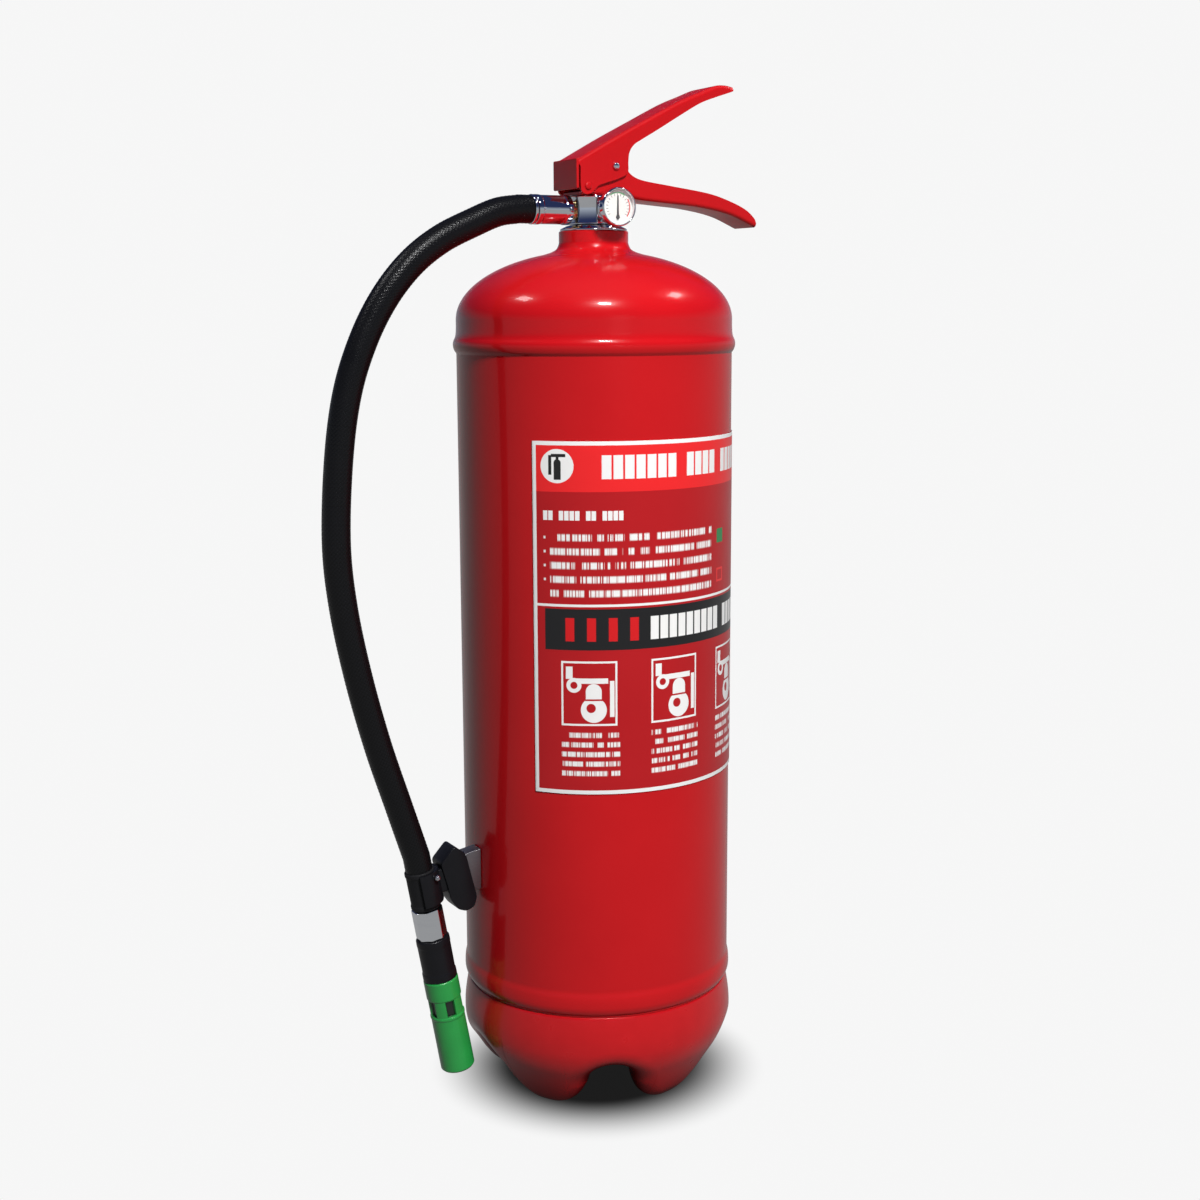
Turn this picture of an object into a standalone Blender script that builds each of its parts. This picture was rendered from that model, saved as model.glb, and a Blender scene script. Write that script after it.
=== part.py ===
"""Portable fire extinguisher: steel tank on a lobed boot, squeeze valve, gauge, hose, nozzle and hose clip.

Metres, +Z up. The tank's axis is Z and the floor is z = 0. The handles reach towards +X, the hose leaves
towards -X and the gauge faces -Y.
"""

import math

import bmesh
import bpy
from mathutils import Matrix, Vector

GAP = 0.0003
SHELL_STEPS = 56

# Tank
TANK_RADIUS = 0.080
TANK_WALL = 0.0014
TUBE_BOTTOM_Z = 0.0636
TUBE_LENGTH = 0.3774
TUBE_TOP_Z = TUBE_BOTTOM_Z + TUBE_LENGTH
LOWER_BEAD_RADIUS = 0.0078
LOWER_BEAD_PROUD = 0.0011
SHOULDER_BEAD_RADIUS = 0.0043
SHOULDER_BEAD_PROUD = 0.0019
DOME_SKIRT = 0.0170
DOME_HEIGHT = 0.0395
NECK_RADIUS = 0.0200
NECK_BORE = 0.0122
NECK_RISE = 0.0678
NECK_TOP_Z = TUBE_TOP_Z + NECK_RISE
NECK_DEPTH = 0.0200
BOTTOM_SKIRT = 0.0150
BOTTOM_DISH = 0.0280

# Boot
BOOT_BULGE = 0.0016
BOOT_TUCK = 0.0009
BOOT_RADIUS = TANK_RADIUS + BOOT_BULGE
BOOT_TOP_RADIUS = TANK_RADIUS - BOOT_TUCK
BOOT_WALL = 0.0030
BOOT_LIP = 0.0018
BOOT_BULGE_Z = 0.0440
BOOT_TURN_Z = 0.0290
FOOT_INSET = 0.0186
FOOT_WIDTH = 0.0160
FOOT_OUTER = BOOT_RADIUS - FOOT_INSET
FOOT_INNER = FOOT_OUTER - FOOT_WIDTH
LOBES = 5
LOBE_TURN = math.radians(14)
ARCH_WIDTH = 0.0270
ARCH_TOP_Z = 0.0300

# Label
LABEL_UP = 0.1334
LABEL_DOWN = 0.0465
LABEL_BOTTOM_Z = TUBE_BOTTOM_Z + LABEL_UP
LABEL_TOP_Z = TUBE_TOP_Z - LABEL_DOWN
LABEL_START = math.radians(-54)
LABEL_END = math.radians(100)
LABEL_FILM = 0.0003

# Valve
COLLAR_RADIUS = 0.0193
COLLAR_HEIGHT = 0.0031
VALVE_FLATS = 0.0280
VALVE_WAIST = 0.0008
VALVE_HEIGHT = 0.0160
STEM_RADIUS = 0.0030
GLAND_RADIUS = 0.0052
GLAND_FLATS = 0.0130
GLAND_HEIGHT = 0.0048
GLAND_DEPTH = 0.0090
SEAL_HEIGHT = 0.0025
CAP_RADIUS = 0.0050
SPRING_WIRE = 0.0005
SPRING_TURNS = 4
O_RING_WIRE = 0.0011
O_RING_RADIUS = 0.0147
SIPHON_RADIUS = 0.0060
SIPHON_WALL = 0.0010
SIPHON_FLOOR_GAP = 0.0080
SPIGOT_RADIUS = 0.0118
SPIGOT_DEPTH = 0.0190
SIPHON_SEAT = 0.0080

# Handles
PLATE = 0.0016
LEVER_WIDTH = 0.0280
SQUEEZE = math.radians(14)
PIVOT_X = -0.0110
PIVOT_RISE = 0.0046
PIVOT_RADIUS = 0.0020
PIVOT_HEAD = 0.0025
HEAD_HEIGHT = 0.0010
STUD_X = 0.0070
STUD_RISE = 0.0160
STUD_RADIUS = 0.0013
STUD_HEAD = 0.0021
PIN_X = 0.0090
PIN_RISE = 0.0146
PIN_RADIUS = 0.0018
PIN_HEAD = 0.0036
PIN_EYE = 0.0044
RING_RADIUS = 0.0120
RING_WIRE = 0.0009

# Gauge
GAUGE_RADIUS = 0.0102
BEZEL_WALL = 0.0003
BEZEL_RADIUS = GAUGE_RADIUS + GAP + BEZEL_WALL
GAUGE_STEM = 0.0045
GAUGE_BACK_Y = 0.0242
GAUGE_DEPTH = 0.0053
GAUGE_WALL = 0.0007
GAUGE_FLOOR = 0.0024
GAUGE_LIP = 0.0008
NEEDLE_SPACE = 0.0008
DIAL_FILM = 0.0004
NEEDLE_DROP = 0.0058
NEEDLE_LENGTH = 0.0122
NEEDLE_WIDTH = 0.0007
NEEDLE_HUB = 0.0012
LENS = 0.0008

# Hose outlet
ADAPTER_RADIUS = 0.0050
FERRULE_RADIUS = 0.0082
FERRULE_START = 0.0170
FERRULE_LENGTH = 0.0218
COLLAR_RING_RADIUS = 0.0083
COLLAR_RING_LENGTH = 0.0019

# Hose: the route's own points, from the collar on the valve to the sleeve above the nozzle
HOSE_RADIUS = 0.0080
HOSE_ROUTE = (
    (-0.0414, 0.5205),
    (-0.0480, 0.5205),
    (-0.0610, 0.5185),
    (-0.0760, 0.5126),
    (-0.0960, 0.5032),
    (-0.1140, 0.4900),
    (-0.1300, 0.4715),
    (-0.1430, 0.4485),
    (-0.1530, 0.4205),
    (-0.1590, 0.3850),
    (-0.1618, 0.3400),
    (-0.1590, 0.3040),
    (-0.1515, 0.2640),
    (-0.1410, 0.2230),
    (-0.1290, 0.1850),
    (-0.1190, 0.1538),
    (-0.1176, 0.1459),
)
HOSE_STEPS = 48

# Nozzle, measured along its own axis from the end of the hose
NOZZLE_LEAN = math.radians(10.06)
SLEEVE_RADIUS = 0.0088
SLEEVE_LENGTH = 0.0237
COUPLING_FLATS = 0.0172
COUPLING_LENGTH = 0.0182
GRIP_RADIUS = 0.0099
GRIP_LENGTH = 0.0262
TIP_RADIUS = 0.0103
TIP_WALL = 0.0020
TIP_LENGTH = 0.0585
TIP_BAND_START = 0.0120
TIP_BAND_LENGTH = 0.0105
TIP_BAND_DEPTH = 0.0004
WINDOWS = 5
WINDOW_TURN = math.radians(-22)
WINDOW_WIDTH = 0.0056
NOZZLE_BORE = 0.0040
CORE_LENGTH = 0.0340

# Clip
CLIP_HALF_WIDTH = 0.0080
CLIP_NECK = 0.0215
CLIP_TOP = 0.0120
CLIP_BOTTOM = 0.0235
JAW_WALL = 0.0023
JAW_LENGTH = 0.0200
JAW_DEPTH = 0.0110
BRACKET_HEIGHT = 0.0240
BRACKET_WIDTH = 0.0100
BRACKET_BITE = 0.0086
SCREW_RADIUS = 0.0012
SCREW_HEAD = 0.0018
SCREW_LENGTH = 0.0028
SCREW_ALONG = 0.0060
SCREW_UP = 0.0068

# Heights that follow from the sizes above
DOME_BASE_Z = TUBE_TOP_Z + DOME_SKIRT
COLLAR_Z = NECK_TOP_Z + GAP
VALVE_Z = COLLAR_Z + COLLAR_HEIGHT + GAP
VALVE_TOP_Z = VALVE_Z + VALVE_HEIGHT
PORT_Z = VALVE_Z + 0.0080
HANDLE_Z = VALVE_TOP_Z + GAP
WEB_TOP_Z = HANDLE_Z + PLATE
PIVOT_Z = HANDLE_Z + PIVOT_RISE
GLAND_Z = WEB_TOP_Z + GAP
GLAND_TOP_Z = GLAND_Z + GLAND_HEIGHT
HANDLE_WIDTH = LEVER_WIDTH - 2 * (PLATE + GAP)
LEVER_SIDE = LEVER_WIDTH / 2
HANDLE_SIDE = HANDLE_WIDTH / 2
CAP_CENTRE_Z = VALVE_TOP_Z + 0.0210
STUD_Z = HANDLE_Z + STUD_RISE
PIN_Z = HANDLE_Z + PIN_RISE
GAUGE_Z = PORT_Z + 0.0008


# Scene, materials and small helpers


def clear_scene():
    for obj in list(bpy.data.objects):
        bpy.data.objects.remove(obj, do_unlink=True)


def collection(name):
    made = bpy.data.collections.new(name)
    bpy.context.scene.collection.children.link(made)
    return made


def material(name, colour, roughness, metallic=0.0, alpha=1.0):
    made = bpy.data.materials.new(name)
    made.use_nodes = True
    shader = made.node_tree.nodes["Principled BSDF"]
    shader.inputs["Base Color"].default_value = (*colour, 1.0)
    shader.inputs["Roughness"].default_value = roughness
    shader.inputs["Metallic"].default_value = metallic
    shader.inputs["Alpha"].default_value = alpha
    return made


def add(name, data, look, matrix=Matrix()):
    obj = bpy.data.objects.new(name, data)
    obj.matrix_world = matrix
    obj.data.materials.append(look)
    PARTS.objects.link(obj)
    return obj


def shade(mesh, angle=35):
    mesh.shade_smooth()
    mesh.set_sharp_from_angle(angle=math.radians(angle))


def arc(centre, radius, start, end, count):
    """Points on a circle round centre, from start to end in degrees."""
    turns = [math.radians(start + (end - start) * i / (count - 1)) for i in range(count)]
    return [(centre[0] + radius * math.cos(t), centre[1] + radius * math.sin(t)) for t in turns]


def aim(origin, direction):
    """A matrix that puts its own +Z along direction, at origin."""
    return Matrix.Translation(origin) @ Vector(direction).to_track_quat("Z", "Y").to_matrix().to_4x4()


def turned(name, outline, look, matrix=Matrix(), steps=36, smooth=True):
    """A closed outline of (radius, height) points, running down its outer side, turned about +Z."""
    mesh = bpy.data.meshes.new(name)
    shape = bmesh.new()
    points = [shape.verts.new((r, 0.0, z)) for r, z in outline]
    for i, point in enumerate(points):
        shape.edges.new((point, points[(i + 1) % len(points)]))
    shape.to_mesh(mesh)
    shape.free()
    obj = add(name, mesh, look, matrix)
    screw = obj.modifiers.new("turn", "SCREW")
    screw.steps = steps
    screw.render_steps = steps
    screw.use_merge_vertices = True
    screw.merge_threshold = 0.00001
    screw.use_smooth_shade = smooth
    return obj


def bar(name, sections, look, matrix=Matrix(), steps=32, smooth=True):
    """A solid turned bar from (radius, height) points listed from its top to its bottom, closed on the axis."""
    top, bottom = sections[0][1], sections[-1][1]
    return turned(name, [(0.0, top), *sections, (0.0, bottom)], look, matrix, steps, smooth)


def tube(name, outer, inner, length, look, matrix=Matrix(), steps=28):
    """A plain tube from its own z = 0 up to length."""
    return turned(name, [(outer, length), (outer, 0.0), (inner, 0.0), (inner, length)], look, matrix, steps)


def as_mesh(obj):
    """The object again, with its curve or modifiers made into a welded mesh."""
    graph = bpy.context.evaluated_depsgraph_get()
    mesh = bpy.data.meshes.new_from_object(obj.evaluated_get(graph))
    shape = bmesh.new()
    shape.from_mesh(mesh)
    bmesh.ops.remove_doubles(shape, verts=shape.verts, dist=0.000001)
    bmesh.ops.recalc_face_normals(shape, faces=shape.faces)
    shape.to_mesh(mesh)
    shape.free()
    name = obj.name
    homes = list(obj.users_collection)
    fresh = bpy.data.objects.new(name, mesh)
    fresh.matrix_world = obj.matrix_world.copy()
    for home in homes:
        home.objects.link(fresh)
    bpy.data.objects.remove(obj, do_unlink=True)
    fresh.name = name
    mesh.name = name
    return fresh


def slab(name, outline, thickness, look, matrix=Matrix(), side=0.0):
    """A flat outline of (x, z) points, as thick as stated along Y and centred on y = side, as a mesh."""
    curve = bpy.data.curves.new(name, "CURVE")
    curve.dimensions = "2D"
    curve.fill_mode = "BOTH"
    curve.extrude = thickness / 2
    spline = curve.splines.new("POLY")
    spline.points.add(len(outline) - 1)
    for point, (x, z) in zip(spline.points, outline):
        point.co = (x, z, 0.0, 1.0)
    spline.use_cyclic_u = True
    upright = Matrix.Rotation(math.radians(90), 4, "X")
    obj = add(name, curve, look, matrix @ Matrix.Translation((0, side, 0)) @ upright)
    bpy.context.view_layer.update()
    return as_mesh(obj)


def hide_cutter(obj):
    obj.hide_render = True
    obj.display_type = "WIRE"
    PARTS.objects.unlink(obj)
    CUTTERS.objects.link(obj)
    return obj


def cut(obj, cutter, operation="DIFFERENCE"):
    change = obj.modifiers.new(cutter.name, "BOOLEAN")
    change.operation = operation
    change.solver = "EXACT"
    change.object = cutter


def round_cutter(name, radius, start, end, steps=24):
    """A round cutter between two points."""
    start, end = Vector(start), Vector(end)
    length = (end - start).length
    obj = bar(name, [(radius, length), (radius, 0.0)], LOOKS["steel"], aim(start, end - start), steps)
    return hide_cutter(obj)


def box_cutter(name, size, matrix):
    mesh = bpy.data.meshes.new(name)
    shape = bmesh.new()
    bmesh.ops.create_cube(shape, size=1.0, matrix=Matrix.Diagonal((*size, 1.0)))
    shape.to_mesh(mesh)
    shape.free()
    return hide_cutter(add(name, mesh, LOOKS["steel"], matrix))


def slab_cutter(name, outline, thickness, matrix=Matrix(), side=0.0):
    return hide_cutter(slab(name, outline, thickness, LOOKS["steel"], matrix, side))


def pivot_empty(name, location):
    empty = bpy.data.objects.new(name, None)
    empty.location = location
    empty.empty_display_size = 0.01
    PARTS.objects.link(empty)
    return empty


def hang(obj, empty):
    """Parents obj to empty and leaves it where it stands."""
    bpy.context.view_layer.update()
    obj.parent = empty
    obj.matrix_parent_inverse = empty.matrix_world.inverted()


def smooth_line(points, count):
    """Count points at even parameters on a Catmull-Rom curve through the given (x, z) points."""
    points = [Vector(p) for p in points]
    ends = [2 * points[0] - points[1], *points, 2 * points[-1] - points[-2]]
    line = []
    for i in range(count):
        place = (len(points) - 1) * i / (count - 1)
        k = min(int(place), len(points) - 2)
        t = place - k
        a, b, c, d = ends[k : k + 4]
        line.append(0.5 * (2 * b + (c - a) * t + (2 * a - 5 * b + 4 * c - d) * t**2 + (3 * b - a - 3 * c + d) * t**3))
    return [tuple(p) for p in line]


# Tank


def shell_tube():
    bead_z = TUBE_BOTTOM_Z + LOWER_BEAD_RADIUS * 0.95
    bead_centre = (TANK_RADIUS + LOWER_BEAD_PROUD - LOWER_BEAD_RADIUS, bead_z)
    reach = math.degrees(math.acos(1 - LOWER_BEAD_PROUD / LOWER_BEAD_RADIUS))
    bead = arc(bead_centre, LOWER_BEAD_RADIUS, reach, -72, 7)
    inner = TANK_RADIUS - TANK_WALL
    outline = [(TANK_RADIUS, TUBE_TOP_Z), *bead, (inner, bead[-1][1]), (inner, TUBE_TOP_Z)]
    return turned("shell_tube", outline, LOOKS["red_paint"], steps=SHELL_STEPS)


def dome_curve(radius, height, edge, count):
    """A flat elliptic dome from its knuckle to a hole of the given edge radius."""
    last = math.degrees(math.acos(edge / radius))
    turns = [math.radians(last * i / (count - 1)) for i in range(count)]
    return [(radius * math.cos(t), DOME_BASE_Z + height * math.sin(t)) for t in turns]


def shell_dome():
    hole = NECK_RADIUS + GAP
    bead_centre = (
        TANK_RADIUS + SHOULDER_BEAD_PROUD - SHOULDER_BEAD_RADIUS,
        TUBE_TOP_Z + GAP + SHOULDER_BEAD_RADIUS,
    )
    reach = math.degrees(math.acos(1 - SHOULDER_BEAD_PROUD / SHOULDER_BEAD_RADIUS))
    bead = arc(bead_centre, SHOULDER_BEAD_RADIUS, -70, reach, 6)
    crown = dome_curve(TANK_RADIUS, DOME_HEIGHT, hole + 0.0022, 10)
    lip = [(hole + 0.0008, crown[-1][1] + 0.0014), (hole, crown[-1][1] + 0.0030)]
    inside = dome_curve(TANK_RADIUS - TANK_WALL, DOME_HEIGHT - TANK_WALL, hole, 6)
    outer = [*bead, *crown, *lip]
    inner = [(TANK_RADIUS - TANK_WALL, bead[0][1]), *inside]
    return turned("shell_dome", outer[::-1] + inner, LOOKS["red_paint"], steps=SHELL_STEPS)


def neck_boss():
    groove = O_RING_WIRE + GAP
    top, bottom = NECK_TOP_Z, NECK_TOP_Z - NECK_DEPTH
    groove_floor = top - 2 * groove
    outline = [
        (NECK_RADIUS - 0.0006, top),
        (NECK_RADIUS, top - 0.0060),
        (NECK_RADIUS, bottom),
        (NECK_BORE, bottom),
        (NECK_BORE, top),
        (O_RING_RADIUS - groove, top),
        (O_RING_RADIUS - groove, groove_floor),
        (O_RING_RADIUS + groove, groove_floor),
        (O_RING_RADIUS + groove, top),
    ]
    return turned("neck_boss", outline, LOOKS["red_paint"], steps=36)


def shell_bottom():
    outer = TANK_RADIUS - TANK_WALL - GAP
    knuckle_z = TUBE_BOTTOM_Z + 0.0060

    def dish(radius, depth, count):
        turns = [math.radians(90 * i / (count - 1)) for i in range(count)]
        return [(radius * math.cos(t), knuckle_z - depth * math.sin(t)) for t in turns]

    inner = outer - TANK_WALL
    under = dish(outer, BOTTOM_DISH, 8)
    above = dish(inner, BOTTOM_DISH - TANK_WALL, 8)
    outline = [(outer, knuckle_z + BOTTOM_SKIRT), *under, *above[::-1], (inner, knuckle_z + BOTTOM_SKIRT)]
    return turned("shell_bottom", outline, LOOKS["red_paint"], steps=40)


def base_boot():
    top = TUBE_BOTTOM_Z - GAP
    foot_height = 0.0030
    outer = [
        (BOOT_TOP_RADIUS, top),
        *smooth_line(
            [
                (BOOT_TOP_RADIUS + 0.0004, top - 0.0012),
                (BOOT_RADIUS - 0.0006, BOOT_BULGE_Z + 0.0080),
                (BOOT_RADIUS, BOOT_BULGE_Z),
                (BOOT_RADIUS - 0.0004, BOOT_BULGE_Z - 0.0070),
                (BOOT_RADIUS - 0.0030, BOOT_TURN_Z),
            ],
            9,
        ),
        (FOOT_OUTER, foot_height),
        (FOOT_OUTER - 0.0030, 0.0),
        (FOOT_INNER + 0.0020, 0.0),
        (FOOT_INNER, foot_height),
    ]
    inner = [
        (FOOT_INNER + 0.0020, foot_height + 0.0060),
        (FOOT_OUTER - BOOT_WALL, foot_height + 0.0090),
        (BOOT_RADIUS - BOOT_WALL - 0.0030, BOOT_TURN_Z + 0.0040),
        (BOOT_RADIUS - BOOT_WALL, BOOT_BULGE_Z),
        (BOOT_TOP_RADIUS - BOOT_LIP, top),
    ]
    boot = turned("base_boot", outer + inner, LOOKS["red_boot"], steps=60)
    half = ARCH_WIDTH / 2
    spring_z = ARCH_TOP_Z - half
    arch = [(half, -0.01), *arc((0.0, spring_z), half, 0, 180, 13), (-half, -0.01)]
    for i in range(LOBES):
        angle = LOBE_TURN + math.tau * (i + 0.5) / LOBES
        spin = Matrix.Rotation(angle, 4, "Z")
        place = spin @ Matrix.Translation((0, -BOOT_RADIUS / 2 - 0.005, 0))
        cut(boot, slab_cutter(f"arch_cutter_{i + 1}", arch, BOOT_RADIUS, place))
    return boot


def instruction_label():
    radius = TANK_RADIUS + GAP
    turn = LABEL_END - LABEL_START
    mesh = bpy.data.meshes.new("instruction_label")
    shape = bmesh.new()
    rim = [
        (radius + LABEL_FILM, LABEL_TOP_Z),
        (radius + LABEL_FILM, LABEL_BOTTOM_Z),
        (radius, LABEL_BOTTOM_Z),
        (radius, LABEL_TOP_Z),
    ]
    shape.faces.new([shape.verts.new((r, 0.0, z)) for r, z in rim])
    shape.edges.ensure_lookup_table()
    steps = 36
    bmesh.ops.spin(
        shape,
        geom=shape.verts[:] + shape.edges[:] + shape.faces[:],
        cent=(0, 0, 0),
        axis=(0, 0, 1),
        angle=turn,
        steps=steps,
        use_duplicate=False,
    )
    bmesh.ops.recalc_face_normals(shape, faces=shape.faces)
    shape.to_mesh(mesh)
    shape.free()
    shade(mesh)
    # Angles are counted from -Y towards +X.
    return add("instruction_label", mesh, LOOKS["label"], Matrix.Rotation(LABEL_START - math.pi / 2, 4, "Z"))


# Valve


def valve_collar():
    shoulder = VALVE_FLATS / 2 + 0.0003
    bottom = COLLAR_Z - SPIGOT_DEPTH
    seat = SIPHON_RADIUS + GAP
    outline = [
        (shoulder, COLLAR_Z + COLLAR_HEIGHT),
        (COLLAR_RADIUS, COLLAR_Z + 0.0008),
        (COLLAR_RADIUS, COLLAR_Z),
        (SPIGOT_RADIUS, COLLAR_Z),
        (SPIGOT_RADIUS, bottom),
        (seat, bottom),
        (seat, bottom + SIPHON_SEAT),
        (STEM_RADIUS + GAP, bottom + SIPHON_SEAT),
        (STEM_RADIUS + GAP, COLLAR_Z + COLLAR_HEIGHT),
    ]
    return turned("valve_collar", outline, LOOKS["chrome"], steps=36)


def neck_o_ring():
    centre = (O_RING_RADIUS, NECK_TOP_Z - O_RING_WIRE - GAP)
    return turned("neck_o_ring", arc(centre, O_RING_WIRE, 90, -225, 8), LOOKS["black_rubber"], steps=28)


def valve_body():
    corner = VALVE_FLATS / 2 / math.cos(math.pi / 8)
    counterbore = GLAND_RADIUS + GAP
    bore_floor = VALVE_TOP_Z - GLAND_DEPTH - SEAL_HEIGHT - 2 * GAP
    side = []
    for i in range(7):
        share = i / 6
        pinch = VALVE_WAIST * math.sin(math.pi * share)
        side.append((corner - pinch, VALVE_TOP_Z - 0.0005 - (VALVE_HEIGHT - 0.0005) * share))
    sections = [(corner - 0.0006, VALVE_TOP_Z), *side]
    body = bar("valve_body", sections, LOOKS["chrome"], Matrix.Rotation(math.pi / 8, 4, "Z"), 8, False)
    above, below = VALVE_TOP_Z + 0.01, VALVE_Z - 0.01
    cut(body, round_cutter("stem_bore_cutter", STEM_RADIUS + GAP, (0, 0, below), (0, 0, above)))
    cut(body, round_cutter("gland_bore_cutter", counterbore, (0, 0, bore_floor), (0, 0, above), 32))
    reach = corner + 0.01
    inner_wall = counterbore + 0.0010
    hose_port = round_cutter(
        "hose_port_cutter", ADAPTER_RADIUS + GAP, (-inner_wall, 0, PORT_Z), (-reach, 0, PORT_Z)
    )
    gauge_port = round_cutter(
        "gauge_port_cutter", GAUGE_STEM + GAP, (0, -inner_wall, GAUGE_Z), (0, -reach, GAUGE_Z)
    )
    cut(body, hose_port)
    cut(body, gauge_port)
    return body


def stem_seal():
    top = VALVE_TOP_Z - GLAND_DEPTH - GAP
    place = Matrix.Translation((0, 0, top - SEAL_HEIGHT))
    return tube("stem_seal", GLAND_RADIUS, STEM_RADIUS + GAP, SEAL_HEIGHT, LOOKS["black_rubber"], place)


def gland_nut():
    """A hexagon on the handle's web, with a round spigot down into the valve."""
    corner = GLAND_FLATS / 2 / math.cos(math.pi / 6)
    bore = STEM_RADIUS + GAP
    bottom = VALVE_TOP_Z - GLAND_DEPTH
    nut = bar("gland_nut", [(corner, GLAND_TOP_Z), (corner, GLAND_Z)], LOOKS["brass"], steps=6, smooth=False)
    cut(nut, round_cutter("gland_spigot", GLAND_RADIUS, (0, 0, bottom), (0, 0, GLAND_TOP_Z - 0.0010), 32), "UNION")
    cut(nut, round_cutter("gland_stem_cutter", bore, (0, 0, bottom - 0.01), (0, 0, GLAND_TOP_Z + 0.01)))
    return nut


def valve_stem():
    bottom = COLLAR_Z - SPIGOT_DEPTH + SIPHON_SEAT + 0.0030
    top = CAP_CENTRE_Z - 0.0010
    tip = [(STEM_RADIUS - 0.0008, bottom - 0.0008)]
    place = [(STEM_RADIUS, top), (STEM_RADIUS, bottom), *tip]
    return bar("valve_stem", place, LOOKS["steel"])


def stem_cap():
    """A domed pusher with a blind socket for the stem."""
    socket = STEM_RADIUS + GAP
    roof = CAP_CENTRE_Z - 0.0010 + GAP
    bottom = CAP_CENTRE_Z - 0.0030
    dome = arc((0.0, CAP_CENTRE_Z), CAP_RADIUS, 90, 0, 7)
    outline = [*dome, (CAP_RADIUS, bottom), (socket, bottom), (socket, roof), (0.0, roof)]
    return turned("stem_cap", outline, LOOKS["black_plastic"], steps=20)


def stem_spring():
    bottom = GLAND_TOP_Z + GAP + SPRING_WIRE
    top = CAP_CENTRE_Z - 0.0030 - GAP - SPRING_WIRE
    radius = STEM_RADIUS + 0.0005 + SPRING_WIRE
    count = SPRING_TURNS * 10
    curve = bpy.data.curves.new("stem_spring", "CURVE")
    curve.dimensions = "3D"
    curve.bevel_depth = SPRING_WIRE
    curve.bevel_resolution = 2
    curve.use_fill_caps = True
    spline = curve.splines.new("POLY")
    spline.points.add(count)
    for i, point in enumerate(spline.points):
        share = i / count
        angle = math.tau * SPRING_TURNS * share
        height = bottom + (top - bottom) * share
        point.co = (radius * math.cos(angle), radius * math.sin(angle), height, 1.0)
    return add("stem_spring", curve, LOOKS["steel"])


def siphon_tube():
    top = COLLAR_Z - SPIGOT_DEPTH + SIPHON_SEAT - GAP
    floor = TUBE_BOTTOM_Z + 0.0060 - BOTTOM_DISH + TANK_WALL
    bottom = floor + SIPHON_FLOOR_GAP
    place = Matrix.Translation((0, 0, bottom))
    return tube("siphon_tube", SIPHON_RADIUS, SIPHON_RADIUS - SIPHON_WALL, top - bottom, LOOKS["steel"], place, 24)


# Handles


def handle_outline():
    """The carry handle's side, from its rear foot round under the grip and back over it."""
    z = HANDLE_Z
    under = smooth_line(
        [
            (0.0150, z),
            (0.0240, z - 0.0022),
            (0.0440, z - 0.0038),
            (0.0655, z - 0.0056),
            (0.0864, z - 0.0094),
            (0.1043, z - 0.0163),
        ],
        14,
    )
    over = smooth_line(
        [
            (0.1046, z - 0.0140),
            (0.1029, z - 0.0108),
            (0.0970, z - 0.0062),
            (0.0865, z - 0.0018),
            (0.0710, z + 0.0025),
            (0.0457, z + 0.0060),
            (0.0259, z + 0.0087),
            (0.0180, z + 0.0118),
            (0.0142, z + 0.0170),
        ],
        22,
    )
    rear = -0.0138
    ears = [(0.0125, z + 0.0194), (0.0060, z + 0.0194), (-0.0080, z + 0.0146), (rear, z + 0.0096)]
    return [(rear, z), *under, *over, *ears]


def carry_handle():
    """A channel that is open upwards: the grip's web is underneath and its two sides stand up."""
    outline = handle_outline()
    handle = slab("carry_handle", outline, HANDLE_WIDTH, LOOKS["red_paint"])
    z = HANDLE_Z + PLATE
    floor = smooth_line(
        [
            (0.0155, z),
            (0.0245, z - 0.0022),
            (0.0445, z - 0.0038),
            (0.0660, z - 0.0056),
            (0.0870, z - 0.0095),
            (0.1080, z - 0.0175),
        ],
        14,
    )
    inside = [(-0.03, z), *floor, (0.12, z - 0.0175), (0.12, z + 0.04), (-0.03, z + 0.04)]
    cut(handle, slab_cutter("handle_inside_cutter", inside, HANDLE_WIDTH - 2 * PLATE))
    across = HANDLE_WIDTH / 2 + 0.005
    cut(handle, round_cutter("gland_hole_cutter", GLAND_RADIUS + GAP, (0, 0, z - 0.01), (0, 0, z + 0.003)))
    for name, x, height, radius in (
        ("handle_pivot_cutter", PIVOT_X, PIVOT_Z, PIVOT_RADIUS + GAP),
        ("handle_pin_cutter", PIN_X, PIN_Z, PIN_RADIUS + GAP),
    ):
        cut(handle, round_cutter(name, radius, (x, -across, height), (x, across, height)))
    return handle


def lever_top(offset):
    """The lever's back from its rear corner to its tip, moved down by offset."""
    z = HANDLE_Z - offset
    return smooth_line(
        [
            (-0.0180, z + 0.0186),
            (0.0070, z + 0.0322),
            (0.0285, z + 0.0432),
            (0.0500, z + 0.0540),
            (0.0630, z + 0.0593),
            (0.0740, z + 0.0626),
            (0.0810, z + 0.0628),
            (0.0865, z + 0.0610),
        ],
        26,
    )


def lever_outline():
    """The lever's side: rear flange, back, tip, underside of the arm, front edge, lower edge, pivot lobe."""
    z = HANDLE_Z
    rear = -0.0184
    arm = smooth_line(
        [
            (0.0742, z + 0.0566),
            (0.0631, z + 0.0525),
            (0.0492, z + 0.0455),
            (0.0344, z + 0.0370),
            (0.0246, z + 0.0316),
            (0.0190, z + 0.0282),
            (0.0158, z + 0.0240),
            (0.0152, z + 0.0180),
        ],
        20,
    )
    lower = [(0.0152, z + 0.0135), (0.0140, z + 0.0115), (0.0073, z + 0.0086), (-0.0004, z + 0.0062)]
    lobe = arc((PIVOT_X + 0.0002, PIVOT_Z), 0.0046, -25, -165, 9)
    notch = [(rear + PLATE + 0.0008, z + 0.0080), (rear + PLATE, z + 0.0060)]
    back = lever_top(0.0)
    return [(rear, z + 0.0004), *back, *arm, *lower, *lobe, *notch, (rear + PLATE, z + 0.0004)]


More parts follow.
